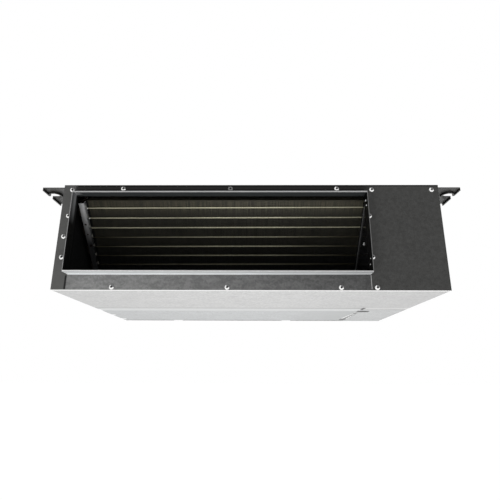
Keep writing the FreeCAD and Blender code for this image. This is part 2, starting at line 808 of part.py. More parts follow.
def make_wheel_shape():
    """Double-inlet wheel: forward-curved blades from a middle disc out to two end rings."""
    outer = size("wheel_radius")
    deep = size("blade_deep")
    wide = size("wheel_wide")
    ring = size("wheel_ring")
    thin = size("wheel_disc")
    lead = math.radians(size("blade_lead"))
    slip = size("blade_thick") / outer
    count = int(size("wheel_blades"))

    def spot(share, more):
        radius = outer - deep * (1 - share)
        angle = lead * share ** 2 + more
        return Vector(0, radius * math.cos(angle), radius * math.sin(angle))

    near = [spot(share, 0) for share in (0, 0.5, 1)]
    far = [spot(share, slip) for share in (1, 0.5, 0)]
    section = Part.Face(Part.makePolygon(near + far + near[:1]))
    long = (wide - thin) / 2 - ring
    blade = section.extrude(Vector(long, 0, 0))
    flats = int(size("round_flats"))
    hub = size("hub_long")
    shapes = [prism((wide - thin) / 2, outer + 0.5, thin, flats),
              prism((wide - hub) / 2, size("hub_across") / 2, hub, flats // 2)]
    for x in (0, wide - ring):
        shapes.append(prism(x, outer + 1, ring, flats).cut(rod(x, 0, 0, outer - deep / 2, ring)))
    for start, turned in ((ring, 0), ((wide + thin) / 2, 0.5)):
        for i in range(count):
            copy = blade.copy()
            copy.translate(Vector(start, 0, 0))
            copy.rotate(Vector(), Vector(1, 0, 0), 360 * (i + turned) / count)
            shapes.append(copy)
    bore = size("shaft_across") / 2 + size("shaft_fit")
    return shapes[0].multiFuse(shapes[1:]).cut(rod(-1, 0, 0, bore, wide + 2))


def make_fans():
    wheel = make_wheel_shape()
    inset = " + (scroll_wide - wheel_wide) / 2 - body_wide / 2"
    for side, left in (("left", SCROLL_LEFT), ("right", SCROLL_RIGHT)):
        feature(side + "_fan_wheel", wheel.copy(), x=left + inset, **FAN_AXIS)
    shaft = new_body("fan_shaft", x=SCROLL_LEFT + " + scroll_wide / 2 - hub_long - body_wide / 2",
                     **FAN_AXIS)
    long = "scroll_wide + motor_room + 2 * hub_long"
    edge = "shaft_across / 2"
    bevel = "shaft_across / 10"
    turn(shaft, [("0", "0"), ("0", edge + " - " + bevel), (bevel, edge),
                 (long + " - " + bevel, edge), (long, edge + " - " + bevel), (long, "0")])


def collar(x, outer, inner, long):
    """A ring about the X axis, with many flats inside and out."""
    flats = int(size("round_flats"))
    return prism(x, outer, long, flats).cut(prism(x, inner, long, flats))


def make_motor():
    """Motor: two drawn shells with bearing bosses, stator, rotor and bearings."""
    outside = size("motor_across") / 2
    wall = size("motor_shell")
    half = size("motor_long") / 2
    boss = size("boss_long")
    seat = size("bearing_across") / 2
    grip = size("shaft_across") / 2 + size("shaft_fit")
    fit = size("fit_gap")
    shell = fused([collar(-half, outside, outside - wall, half),
                   collar(-half, outside - wall, seat, wall),
                   collar(-half - boss, size("motor_boss") / 2, seat, boss),
                   collar(-half - boss, seat, grip + size("air_gap"), wall)])
    for side, angle in (("left", 0), ("right", 180)):
        copy = shell.copy()
        copy.rotate(Vector(), Vector(0, 0, 1), angle)
        feature("motor_shell_" + side, copy, x=MOTOR_MIDDLE, **FAN_AXIS)
    core = half / 2
    rotor = size("rotor_across") / 2
    feature("motor_stator",
            collar(-core, outside - wall - fit, rotor + size("air_gap"), 2 * core),
            x=MOTOR_MIDDLE, **FAN_AXIS)
    bore = rod(-core, 0, 0, grip, 2 * core)
    feature("motor_rotor", prism(-core, rotor, 2 * core, int(size("round_flats"))).cut(bore),
            x=MOTOR_MIDDLE, **FAN_AXIS)
    race = size("bearing_wide")
    place = half + boss - wall - race
    flats = int(size("round_flats"))
    bearings = [prism(x, seat - fit, race, flats).cut(rod(x, 0, 0, grip, race))
                for x in (-place - race, place)]
    feature("motor_bearings", Part.makeCompound(bearings), x=MOTOR_MIDDLE, **FAN_AXIS)
    ring = size("ring_across") / 2
    wide = size("ring_wide")
    start = half + size("ring_gap")
    rubbers = [collar(x, ring, size("motor_boss") / 2 + fit, wide) for x in (-start - wide, start)]
    feature("motor_rubbers", Part.makeCompound(rubbers), x=MOTOR_MIDDLE, **FAN_AXIS)
    band = size("strap")
    ear = size("strap_ear")
    above = block(-2 * start, -2 * ring, 0, 4 * start, 4 * ring, 2 * ring)
    straps = []
    for x in (-start - wide, start):
        arch = collar(x, ring + fit + band, ring + fit, wide).common(above)
        ears = [block(x, y, 0, wide, ear, band) for y in (-ring - ear - band / 2, ring + band / 2)]
        straps.append(fused([arch] + ears))
    feature("motor_straps", Part.makeCompound(straps), x=MOTOR_MIDDLE, **FAN_AXIS)


def make_bracket():
    """Motor bracket: flange on the deck, shelf, and two cheeks that seat the rubbers."""
    bracket = new_body("motor_bracket", x=MOTOR_MIDDLE)
    half = "(motor_long / 2 + ring_gap + ring_wide)"
    shelf = "(%s - motor_across / 2 - shelf_gap - bracket)" % FAN_HIGH
    near = "(%s + steel)" % REAR_START
    reach = "ring_across / 2 + strap_ear + strap"
    end = "(fan_back + %s)" % reach
    pad(bracket, "XZ", near, "bracket",
        rect("-" + half, shelf + " - bracket_foot", half, shelf + " + bracket"))
    pad(bracket, "XY", shelf, "bracket", rect("-" + half, near, half, end))
    for start in ("-%s + ring_wide / 2 - bracket / 2" % half, half + " - ring_wide / 2 - bracket / 2"):
        pad(bracket, "YZ", start, "bracket",
            rect("fan_back - (%s)" % reach, shelf, end, FAN_HIGH))
        cut(bracket, "YZ", start, "bracket",
            ("fan_back", FAN_HIGH, "ring_across / 2 / cos(180 / round_flats) + fit_gap"))


def make_filter():
    frame = new_body("filter_frame")
    outer = rect(FILTER_LEFT, "filter_low", FILTER_RIGHT, RETURN_TOP)
    inner = rect(FILTER_LEFT + " + filter_border", "filter_low + filter_border",
                 FILTER_RIGHT + " - filter_border", RETURN_TOP + " - filter_border")
    pad(frame, "XZ", FILTER_FRONT, "filter_thick", outer, inner)
    rear = FILTER_REAR + " - filter_thick / 2 + filter_mesh"
    deep = "filter_thick / 2 - filter_mesh"
    step = "((%s - %s) / (filter_ribs + 1))" % (FILTER_RIGHT, FILTER_LEFT)
    half = "filter_rib / 2"
    rib = pad(frame, "XZ", rear, deep,
              rect("%s + %s - %s" % (FILTER_LEFT, step, half), "filter_low + filter_border",
                   "%s + %s + %s" % (FILTER_LEFT, step, half), RETURN_TOP + " - filter_border"))
    repeat(frame, [rib], "X", step + " * (filter_ribs - 1)", "filter_ribs")
    pad(frame, "XZ", rear, deep,
        rect(FILTER_LEFT + " + filter_border", "%s - %s" % (FILTER_MIDDLE, half),
             FILTER_RIGHT + " - filter_border", "%s + %s" % (FILTER_MIDDLE, half)))
    for middle in TAB_PLACES:
        pad(frame, "XZ", FILTER_REAR, "3 * steel",
            rect(middle + " - tab_wide / 2", "filter_low", middle + " + tab_wide / 2",
                 "filter_low + tab_tall"))
    mesh = new_body("filter_mesh_sheet")
    pad(mesh, "XZ", FILTER_REAR + " - filter_thick / 2", "filter_mesh", inner)


def make_filter_rails():
    """Channels fixed behind the return collar, in which the filter slides down."""
    low = "2 * steel"
    tall = "body_tall - 4 * steel"
    near = FILTER_FRONT + " - filter_gap - rail_thick"
    far = FILTER_REAR + " + filter_gap + rail_thick"
    left = new_body("filter_rail_left")
    web = FILTER_LEFT + " - filter_gap / 2 - rail_thick"
    grip = web + " + rail_thick + rail_grip"
    pad(left, "XY", low, tall,
        [(web, near), (grip, near), (grip, near + " + rail_thick"),
         (web + " + rail_thick", near + " + rail_thick"),
         (web + " + rail_thick", far + " - rail_thick"), (grip, far + " - rail_thick"),
         (grip, far), (web, far)])
    right = new_body("filter_rail_right")
    web = FILTER_RIGHT + " + filter_gap / 2 + rail_thick"
    grip = web + " - rail_thick - rail_grip"
    pad(right, "XY", low, tall,
        [(web, near), (web, far), (grip, far), (grip, far + " - rail_thick"),
         (web + " - rail_thick", far + " - rail_thick"),
         (web + " - rail_thick", near + " + rail_thick"), (grip, near + " + rail_thick"),
         (grip, near)])


def make_electrical_box():
    box = new_body("electrical_box")
    right = "(body_wide - steel)"
    sill = "(body_tall - lug_drop - lug_thick - lug_leg - steel)"
    pad(box, "YZ", BOX_LEFT, "box_wide - steel",
        rect(REAR_START, "0", "body_deep", "body_tall - steel"))
    pad(box, "YZ", right, "steel", rect(REAR_START, sill, "body_deep", "body_tall - steel"))
    inner_low = "(%s + steel)" % REAR_START
    cut(box, "YZ", BOX_LEFT + " + steel", "box_wide - 3 * steel",
        rect(inner_low, "steel", "body_deep - steel", "body_tall - 2 * steel"))
    cut(box, "YZ", right + " - steel", "steel",
        rect(inner_low + " + fold", "steel + fold", "body_deep - steel - fold", sill + " - fold"))
    cut(box, "YZ", right + " - steel", "steel",
        rect(inner_low, sill + " + steel", "body_deep - steel", "body_tall - 2 * steel"))
    cut_lug_slots(box, right, "lug_front + lug_pitch")
    cut(box, "XY", "0", "steel",
        rect(BOX_LEFT + " + 2 * steel", REAR_START + " + band_deep - vent_tall",
             BOX_LEFT + " + 2 * steel + vent_wide / 2", REAR_START + " + band_deep"))
    cut(box, "XZ", "body_deep - steel", "steel",
        flats_about("body_wide - box_wide / 2", "gland_high", "gland_across / 2 + fit_gap", 12))
    cover = new_body("electrical_cover")
    pad(cover, "YZ", right, "steel", rect(REAR_START, "0", "body_deep", sill))

    gland = new_body("cable_gland", x="body_wide / 2 - box_wide / 2", y="body_deep / 2",
                     z="gland_high")
    pad(gland, "XZ", "-steel", "steel", flats_about("0", "0", "gland_across / 2", 12))
    pad(gland, "XZ", "0", "gland_nut", flats_about("0", "0", "gland_hex / 2", 6))
    cut(gland, "XZ", "-steel", "steel + gland_nut", ("0", "0", "gland_bore / 2"))


def make_controls():
    """Control parts on the inner wall of the electrical box, given by depth and height."""
    wall = size("body_wide") - size("box_wide") + size("steel")
    back = size("front_deep") + size("board_back")
    low = size("board_low")
    deep = size("board_deep")
    tall = size("board_tall")
    lift = size("board_lift")
    post = size("post_wide")
    inset = size("post_inset")
    posts = [block(wall, y, z, lift, post, post)
             for y in (back + inset, back + deep - inset - post)
             for z in (low + inset, low + tall - inset - post)]
    feature("board_posts", Part.makeCompound(posts))

    board = block(wall + lift, back, low, size("board_thick"), deep, tall)

    def on_board(y, z, rise, part_deep, part_tall):
        return block(wall + lift + size("board_thick"), back + y, low + z, rise, part_deep, part_tall)

    edge = size("board_edge")
    relay = size("relay_deep")
    relays = [on_board(edge + i * (relay + size("relay_gap")), edge, size("relay_rise"), relay,
                       size("relay_tall")) for i in (0, 1)]
    chip = size("chip_side")
    middle = tall / 2
    parts = [on_board(edge, middle, size("socket_rise"), deep / 2 - edge, size("socket_tall")),
             on_board(deep - edge - chip - post, middle, size("chip_rise"), chip, chip),
             on_board(deep / 2, tall - 2 * edge, size("socket_rise"), deep / 2 - edge,
                      size("socket_tall"))]
    feature("circuit_board", fused([board] + relays + parts))

    strip_back = back + deep + size("board_edge")
    strip_rise = size("strip_rise")
    wide = size("strip_long")
    strip = block(wall, strip_back, size("strip_low"), strip_rise, wide, size("strip_tall"))
    rib = size("strip_rib")
    ribs = [block(wall + strip_rise, strip_back + (wide - rib) * i / 5, size("strip_low"),
                  3 * rib, rib, size("strip_tall")) for i in range(6)]
    feature("terminal_block", fused([strip] + ribs))
    core = size("core_side")
    step = size("winding_step")
    core_back = strip_back + step
    core_low = size("core_low")
    core_rise = size("core_rise")
    feature("transformer", fused([
        block(wall, core_back, core_low, core_rise, core, core - step),
        block(wall, core_back + step, core_low - step, core_rise + step / 2, core - 2 * step,
              core + step)]))
    feature("fan_capacitor", block(wall, strip_back + step, size("can_low"), size("can_rise"),
                                   size("can_long"), size("can_tall")))


def make_screws():
    """Pan heads of the screws that hold the front flanges, all alike, on the front face."""
    radius = size("screw_head") / 2
    rise = size("screw_rise")
    sides = 6
    turns = [2 * math.pi * i / sides for i in range(sides + 1)]
    rims = []
    for out, reach in ((0, radius), (0.35 * rise, radius), (rise, 0.55 * radius)):
        rims.append(Part.makePolygon([Vector(reach * math.cos(turn), -out, reach * math.sin(turn))
                                      for turn in turns]))
    head = Part.makeLoft(rims, True, True)
    heads = []
    for x, z in front_screw_places():
        copy = head.copy()
        copy.translate(Vector(x, 0, z))
        heads.append(copy)
    feature("front_screws", Part.makeCompound(heads))


make_casing()
make_collars()
make_lugs()
make_fin_pack()
make_coil_plate()
make_room_wall()
make_tube_bends()
make_pipes()
make_unions()
make_pan_and_linings()
make_deck()
make_scrolls()
make_fans()
make_motor()
make_bracket()
make_filter()
make_filter_rails()
make_electrical_box()
make_controls()
make_screws()

doc.recompute()
os.makedirs("parts", exist_ok=True)
for thing in doc.Objects:
    if "Invalid" in thing.State or "Error" in thing.State:
        raise RuntimeError("failed: %s %s" % (thing.Name, thing.State))
for hollow in doc.findObjects("PartDesign::Pocket"):
    if hollow.Shape.Volume > hollow.BaseFeature.Shape.Volume - 0.1:
        raise RuntimeError("cut nothing: %s in %s" % (hollow.Name, hollow.getParent().Label))
for thing in nodes:
    if thing.Shape.isNull() or not thing.Shape.isValid():
        raise RuntimeError("bad shape: " + thing.Label)
    thing.Shape.exportStep(os.path.join("parts", thing.Label + ".step"))
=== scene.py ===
import math

import bmesh
import bpy
from mathutils import Matrix, Vector


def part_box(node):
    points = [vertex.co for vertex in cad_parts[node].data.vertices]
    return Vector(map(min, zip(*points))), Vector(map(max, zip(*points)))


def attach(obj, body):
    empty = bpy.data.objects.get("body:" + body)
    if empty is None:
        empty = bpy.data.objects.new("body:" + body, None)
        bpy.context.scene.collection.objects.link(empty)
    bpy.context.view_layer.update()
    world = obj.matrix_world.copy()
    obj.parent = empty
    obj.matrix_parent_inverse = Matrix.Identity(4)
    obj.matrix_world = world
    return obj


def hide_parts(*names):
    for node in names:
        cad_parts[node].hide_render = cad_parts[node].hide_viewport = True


# Concealed ducted air conditioner indoor unit, hung from the ceiling, seen from the outlet end
# and from below.  Metres, in the frame of the CAD model.

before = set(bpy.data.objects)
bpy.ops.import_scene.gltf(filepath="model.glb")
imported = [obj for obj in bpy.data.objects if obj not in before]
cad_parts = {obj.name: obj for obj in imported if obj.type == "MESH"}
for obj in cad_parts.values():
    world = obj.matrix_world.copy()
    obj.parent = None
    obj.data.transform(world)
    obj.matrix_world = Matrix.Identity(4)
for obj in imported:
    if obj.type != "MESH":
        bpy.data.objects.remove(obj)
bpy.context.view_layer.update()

MM = 0.001

# Places read from the CAD model.
CASE_LOW, CASE_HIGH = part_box("top_panel")
COLLAR_LOW, COLLAR_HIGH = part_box("outlet_collar")
FINS_LOW, FINS_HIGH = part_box("fin_pack")
FRONT = CASE_LOW.y

# Left edge of the electrical box on the underside.
BOX_LEFT = 254 * MM


# Materials

# Black for painted shade in gaps, seams, the box's slot and the flap's ends.
SHADE_BLACK = (0.004, 0.004, 0.004)
# White for painted highlights on the underside.
HIGHLIGHT_WHITE = (1.0, 1.0, 0.99)

# Sockets of the node that mixes two colours.
MIX_SHARE, MIX_FIRST, MIX_SECOND, MIX_RESULT = 0, 6, 7, 2


class Finish:
    """A material under construction, with short ways to add its nodes."""

    def __init__(self, name):
        self.material = bpy.data.materials.new(name)
        self.material.use_nodes = True
        self.tree = self.material.node_tree
        self.shader = self.tree.nodes["Principled BSDF"]
        self.place = self.add("ShaderNodeTexCoord").outputs["Object"]

    def add(self, kind, **settings):
        node = self.tree.nodes.new(kind)
        for key, value in settings.items():
            setattr(node, key, value)
        return node

    def link(self, source, target):
        self.tree.links.new(source, target)

    def stretched(self, stretch):
        mapping = self.add("ShaderNodeMapping")
        mapping.inputs["Scale"].default_value = stretch
        self.link(self.place, mapping.inputs["Vector"])
        return mapping.outputs["Vector"]

    def noise(self, size, detail=3.0, stretch=(1, 1, 1)):
        """Noise whose blotches are about this many metres across."""
        node = self.add("ShaderNodeTexNoise")
        node.inputs["Scale"].default_value = 1 / size
        node.inputs["Detail"].default_value = detail
        self.link(self.stretched(stretch), node.inputs["Vector"])
        return node.outputs["Fac"]

    def cells(self, size):
        """A different grey for each crystal of about this size in metres."""
        node = self.add("ShaderNodeTexVoronoi")
        node.inputs["Scale"].default_value = 1 / size
        self.link(self.place, node.inputs["Vector"])
        grey = self.add("ShaderNodeSeparateColor")
        self.link(node.outputs["Color"], grey.inputs["Color"])
        return grey.outputs["Red"]

    def spread(self, source, low, high, start=0.3, end=0.7):
        """Map a 0 to 1 value onto another range."""
        node = self.add("ShaderNodeMapRange")
        node.inputs["From Min"].default_value = start
        node.inputs["From Max"].default_value = end
        node.inputs["To Min"].default_value = low
        node.inputs["To Max"].default_value = high
        self.link(source, node.inputs["Value"])
        return node.outputs["Result"]

    def math(self, operation, first, second):
        node = self.add("ShaderNodeMath", operation=operation)
        for socket, value in zip(node.inputs, (first, second)):
            if isinstance(value, (int, float)):
                socket.default_value = value
            else:
                self.link(value, socket)
        return node.outputs["Value"]

    def times(self, first, second):
        return self.math("MULTIPLY", first, second)

    def larger(self, first, second):
        return self.math("MAXIMUM", first, second)

    def weighted(self, *parts):
        """The sum of some outputs, each times its weight."""
        scaled = [self.times(source, weight) for source, weight in parts]
        total = scaled[0]
        for part in scaled[1:]:
            total = self.math("ADD", total, part)
        return total

    def mixed(self, share, first, second):
        """Blend two colours, each a tuple or another node's output."""
        node = self.add("ShaderNodeMix", data_type="RGBA")
        sockets = (node.inputs[MIX_FIRST], node.inputs[MIX_SECOND])
        for socket, value in zip(sockets, (first, second)):
            if isinstance(value, tuple):
                socket.default_value = (*value, 1)
            else:
                self.link(value, socket)
        self.link(share, node.inputs[MIX_SHARE])
        return node.outputs[MIX_RESULT]

    def axis(self, name):
        split = self.add("ShaderNodeSeparateXYZ")
        self.link(self.place, split.inputs["Vector"])
        return split.outputs[name]

    def fade(self, name, start, end, low=0.0, high=1.0):
        """A value that goes from low to high between two places along an axis."""
        return self.spread(self.axis(name), low, high, start, end)

    def window(self, name, start, end, soft=1.5 * MM):
        """One between two places along an axis and nothing beyond them."""
        return self.times(self.fade(name, start - soft, start),
                          self.fade(name, end, end + soft, 1, 0))

    def spot(self, low, high, soft=1.5 * MM):
        """One inside a rectangle of the XY plane and nothing beyond it."""
        return self.times(self.window("X", low[0], high[0], soft),
                          self.window("Y", low[1], high[1], soft))

    def spotted(self, tint, marks):
        """Lay rectangles of a colour over a tint, each with its corners and its soft edge."""
        for low, high, soft, colour in marks:
            tint = self.mixed(self.spot(low, high, soft), tint, colour)
        return tint

    def grained(self, grain, first, second):
        """Two colours blended by a noise."""
        return self.mixed(self.spread(grain, 0, 1), first, second)

    def done(self, colour, roughness, metallic=0.0, bump=None, height=0.0001, specular=0.5):
        self.link(colour, self.shader.inputs["Base Color"])
        self.link(roughness, self.shader.inputs["Roughness"])
        self.shader.inputs["Metallic"].default_value = metallic
        self.shader.inputs["Specular IOR Level"].default_value = specular
        if bump is not None:
            node = self.add("ShaderNodeBump")
            node.inputs["Distance"].default_value = height
            node.inputs["Strength"].default_value = 0.6
            self.link(bump, node.inputs["Height"])
            self.link(node.outputs["Normal"], self.shader.inputs["Normal"])
        return self.material


def shade(colour, amount):
    return tuple(min(1.0, part * amount) for part in colour)


def mottled(name, colour, rough, metallic=0.0, blotch=0.03, grain=0.002, vary=0.12,
            height=0.00005, specular=0.5):
    """A finish with soft blotches, a fine grain and an uneven roughness."""
    look = Finish(name)
    broad = look.noise(blotch)
    fine = look.noise(grain, 2)
    both = look.weighted((broad, 0.6), (fine, 0.4))
    tint = look.mixed(look.spread(both, 0, 1, 0.35, 0.65), shade(colour, 1 - vary),
                      shade(colour, 1 + vary))
    worn = look.spread(look.noise(blotch * 2), rough * 0.85, rough * 1.15)
    return look.done(tint, worn, metallic, fine, height, specular)


def zinc(name, colour, marks=None, rough=0.4, metallic=0.25):
    """Galvanised sheet: faint crystals, rolling streaks and small stains, with marks over them."""
    look = Finish(name)
    crystals = look.cells(0.0035)
    streaks = look.noise(0.02, 4, (0.3, 6, 6))
    cloud = look.noise(0.05)
    both = look.weighted((crystals, 0.35), (streaks, 0.4), (cloud, 0.25))
    tint = look.grained(both, shade(colour, 0.81), shade(colour, 1.18))
    if marks:
        tint = marks(look, tint)
    worn = look.spread(crystals, rough * 0.85, rough * 1.15, 0, 1)
    return look.done(tint, worn, metallic, streaks, 0.00003)


# Where the underside dims towards the left and towards the right.
DIM_LEFT = (-40 * MM, -340 * MM)
DIM_RIGHT = (60 * MM, 260 * MM)


def sides_dimmed(look, tint):
    """A little less light on the sheet towards the left and right sides."""
    sides = look.larger(look.fade("X", *DIM_LEFT), look.fade("X", *DIM_RIGHT))
    return look.mixed(look.times(sides, 0.15), tint, (0.3, 0.3, 0.3))


# Marks on the underside, painted highlights and shade: two corners, the softness of the edge and
# the colour.
# Painted highlight along the front fold of the underside.
FOLD_HIGHLIGHT = (FRONT + 6 * MM, FRONT + 10 * MM)
# Painted highlight on the lap over the rear panel.
LAP_LOW, LAP_HIGH = (CASE_LOW.x, -2.5 * MM), (BOX_LEFT, 12 * MM)
# Painted shadow line before the lap, fainter towards the left.
LAP_SHADOW_LOW, LAP_SHADOW_HIGH = (CASE_LOW.x, -15 * MM), (BOX_LEFT, -9 * MM)
LAP_SHADOW_FADE = (-300 * MM, 150 * MM)
# A painted highlight on the front panel beside the box, and painted shade in the gap along the
# box's left edge.
BOX_EDGE_LIGHT_AND_SHADE = (
    ((257 * MM, -14 * MM), (CASE_HIGH.x, -7 * MM), 2 * MM, (0.8, 0.8, 0.79)),
    ((248.5 * MM, -19 * MM), (BOX_LEFT, 12 * MM), 1.5 * MM, SHADE_BLACK),
)
# Two small tabs on the left edge, drawn only as painted highlights.
TAB_HIGHLIGHTS = (
    ((-350 * MM, 100 * MM), (-342 * MM, 113 * MM), 1.5 * MM, (1.0, 1.0, 1.0)),
    ((-350 * MM, 176 * MM), (-338 * MM, 192 * MM), 1.5 * MM, (1.0, 1.0, 1.0)),
)
# Painted shade at the two ends of the crimped flap.
FLAP_END_SHADE = (
    ((248 * MM, 28 * MM), (255 * MM, 46 * MM), 1.5 * MM, SHADE_BLACK),
    ((237 * MM, 174 * MM), (250 * MM, 200 * MM), 1.5 * MM, SHADE_BLACK),
)
# Painted shade round the slot in the box's underside.
BOX_SLOT_SHADE = (((255 * MM, 27 * MM), (275 * MM, 47 * MM), 1.5 * MM, SHADE_BLACK),)

# The crimped flap: slope, half width in millimetres and colour of each of its lines, two painted
# highlights and a dashed painted shadow.
FLAP_HIGHLIGHTS_AND_SHADOW = ((0.1, 2.8, HIGHLIGHT_WHITE), (0, 2.4, HIGHLIGHT_WHITE), (0.055, 4, (0.04, 0.04, 0.04)))
FLAP_START, FLAP_END = 34 * MM, 180 * MM
FLAP_INNER, FLAP_OUTER = 252.5, 254


def front_marks(look, tint):
    """Painted shade towards the sides, a painted highlight along the front fold, a painted
    highlight on the lap over the rear panel with a painted shadow line before it, and painted light
    and shade by the box.
    """
    tint = sides_dimmed(look, tint)
    tint = look.mixed(look.fade("Y", *FOLD_HIGHLIGHT, 1, 0), tint, HIGHLIGHT_WHITE)
    tint = look.mixed(look.spot(LAP_LOW, LAP_HIGH, 2 * MM), tint, (0.69, 0.7, 0.7))
    lap_shadow = look.spot(LAP_SHADOW_LOW, LAP_SHADOW_HIGH, 3 * MM)
    lap_shadow = look.times(lap_shadow, look.fade("X", *LAP_SHADOW_FADE, 0.45, 1))
    tint = look.mixed(lap_shadow, tint, (0.38, 0.38, 0.38))
    return look.spotted(tint, BOX_EDGE_LIGHT_AND_SHADE)


def rear_marks(look, tint):
    """Painted shade towards the sides, darker towards the right, a painted highlight behind the
    lap, two small tabs drawn as painted highlights, and the crimped flap beside the box drawn as
    painted highlights and painted shadow.
    """
    tint = sides_dimmed(look, tint)
    tint = look.mixed(look.fade("X", 110 * MM, 235 * MM), tint, (0.5, 0.515, 0.515))
    # Painted highlight on the rear panel just behind the lap.
    tint = look.mixed(look.fade("Y", 26 * MM, 38 * MM, 1, 0), tint, (0.72, 0.73, 0.73))
    tint = look.spotted(tint, TAB_HIGHLIGHTS)
    crimp = look.spread(look.noise(0.013, 1, (0.05, 1, 0.05)), 0, 1, 0.47, 0.49)
    for slope, half, colour in FLAP_HIGHLIGHTS_AND_SHADOW:
        along = look.math("SUBTRACT", look.axis("Y"), FLAP_START)
        across = look.math("ADD", look.axis("X"), look.times(along, slope))
        near = look.spread(across, 0, 1, (FLAP_INNER - half) * MM, (FLAP_OUTER - half) * MM)
        far = look.spread(across, 1, 0, (FLAP_INNER + half) * MM, (FLAP_OUTER + half) * MM)
        share = look.times(look.times(near, far), look.window("Y", FLAP_START, FLAP_END))
        if colour != HIGHLIGHT_WHITE:
            share = look.times(share, crimp)
        tint = look.mixed(share, tint, colour)
    return look.spotted(tint, FLAP_END_SHADE)


def box_marks(look, tint):
    """Painted shade round the slot in the underside of the electrical box."""
    return look.spotted(tint, BOX_SLOT_SHADE)


ZINC = zinc("galvanised_sheet", (0.62, 0.62, 0.61))
UNDER = zinc("front_panel_zinc", (0.615, 0.615, 0.61), front_marks)
REAR = zinc("rear_panel_zinc", (0.575, 0.59, 0.595), rear_marks)
BOX = zinc("box_zinc", (0.575, 0.585, 0.585), box_marks)
DARK = mottled("dark_coated_sheet", (0.085, 0.085, 0.082), 0.5, grain=0.0012, vary=0.18)
# Black for the painted shadow along the top front edge of the outlet collar.
SHADOW_BLACK = mottled("painted_shadow_black", (0.01, 0.01, 0.01), 0.5, grain=0.0015, vary=0.2,
                specular=0.12)
GLOSS = mottled("gloss_black_wall", (0.014, 0.014, 0.015), 0.12, height=0.00001, specular=0.35)
PLATE_EDGE = mottled("end_plate_edge", (0.17, 0.17, 0.17), 0.4, 0.2)
RIVET = mottled("bright_rivet", (0.95, 0.95, 0.94), 0.3, vary=0.03, height=0.000005)
HEM = mottled("bright_hem", (0.5, 0.5, 0.5), 0.4, 0.2, vary=0.06)
COPPER = mottled("copper_tube", (0.72, 0.36, 0.22), 0.3, 1.0, vary=0.15)
# Painted shade: the hairpin bends, seen through the end plate's holes, are darkened copper.
SHADED_COPPER = mottled("shaded_copper_bend", (0.06, 0.045, 0.035), 0.5, 0.3, vary=0.2)
TUBE_END = mottled("dull_tube_end", (0.3, 0.3, 0.27), 0.4, 0.6, vary=0.2)
BRASS = mottled("turned_brass", (0.78, 0.6, 0.28), 0.25, 1.0, vary=0.08)
FOAM = mottled("black_foam", (0.012, 0.012, 0.012), 0.9, grain=0.001, height=0.0004,
               specular=0.1)
PAN = mottled("pan_plastic", (0.02, 0.02, 0.02), 0.6)
SCROLL = mottled("scroll_plastic", (0.16, 0.16, 0.17), 0.5, vary=0.05)
WHEEL = mottled("wheel_plastic", (0.06, 0.06, 0.065), 0.4, vary=0.08)
MOTOR = mottled("motor_enamel", (0.09, 0.09, 0.1), 0.35, vary=0.08)
STEEL = mottled("ground_steel", (0.5, 0.5, 0.51), 0.3, 1.0, vary=0.06)
RUBBER = mottled("rubber", (0.025, 0.025, 0.025), 0.75, vary=0.1)
FILTER = mottled("filter_plastic", (0.05, 0.05, 0.05), 0.5, vary=0.08)
TAB = mottled("pale_tab", (0.75, 0.75, 0.72), 0.5, vary=0.04)
NET = mottled("filter_net", (0.06, 0.06, 0.06), 0.6, vary=0.1)
BOARD = mottled("circuit_board", (0.03, 0.18, 0.08), 0.35, vary=0.2)
TERMINAL = mottled("pale_plastic", (0.72, 0.7, 0.64), 0.45, vary=0.05)
SCREW = mottled("zinc_plated_screw", (0.95, 0.95, 0.94), 0.25, 0.8, vary=0.04, height=0.000005)
# Painted shade for the upper right of the screw heads, and the colour of the top middle head, dark
# all over.
SCREW_DARK = mottled("dark_screw", (0.22, 0.22, 0.22), 0.4, 0.3, vary=0.1, height=0.000005)
# Painted shade in the screw heads' cross recesses.
RECESS_SHADE = mottled("screw_recess_shade", (0.02, 0.02, 0.02), 0.5, specular=0.2)
# Painted shade for the upright faces of the lugs' rims.
LUG_RIM_SHADE = mottled("lug_rim_shade", (0.032, 0.03, 0.028), 0.5, specular=0.12)


def edge_finish(name, left, right):
    """Cut edge of the collar's sheet, a painted highlight that fades towards the right."""
    look = Finish(name)
    grain = look.noise(0.004, 2)
    ends = [look.grained(grain, (grey * 0.9,) * 3, (grey * 1.1,) * 3) for grey in (left, right)]
    tint = look.mixed(look.fade("X", COLLAR_LOW.x, COLLAR_HIGH.x), *ends)
    return look.done(tint, look.spread(grain, 0.35, 0.45), 0.2)


def fold_finish():
    """Front fold of the top panel: black, with a paler band along its middle."""
    look = Finish("top_fold_black")
    grain = look.noise(0.003, 3)
    band = look.window("Z", 191.5 * MM, 196 * MM)
    pale = look.grained(grain, (0.02, 0.0195, 0.019), (0.038, 0.037, 0.036))
    tint = look.mixed(band, (0.006, 0.006, 0.006), pale)
    return look.done(tint, look.spread(grain, 0.45, 0.6), specular=0.08)


def inner_finish():
    """Inside of the collar: black, greyer on its top, with painted light on the upper front of the
    left wall and a brighter painted band there.
    """
    look = Finish("collar_inside")
    grain = look.noise(0.004, 3)
    dark = look.grained(grain, (0.006, 0.006, 0.006), (0.009, 0.009, 0.009))
    grey = look.grained(grain, (0.042, 0.047, 0.049), (0.056, 0.061, 0.063))
    top = look.fade("Z", 177.4 * MM, 177.9 * MM)
    # Painted light on the upper front of the left inner wall, with a brighter painted band near the
    # front.
    left = look.times(look.fade("X", -310 * MM, -322 * MM), look.fade("Z", 118 * MM, 172 * MM))
    left = look.times(left, look.fade("Y", -228 * MM, -230 * MM))
    band = look.mixed(look.window("Y", -238 * MM, -231 * MM), (0.2, 0.205, 0.21),
                      (0.42, 0.43, 0.44))
    tint = look.mixed(left, look.mixed(top, dark, grey), band)
    return look.done(tint, look.spread(grain, 0.4, 0.55), specular=0.2)


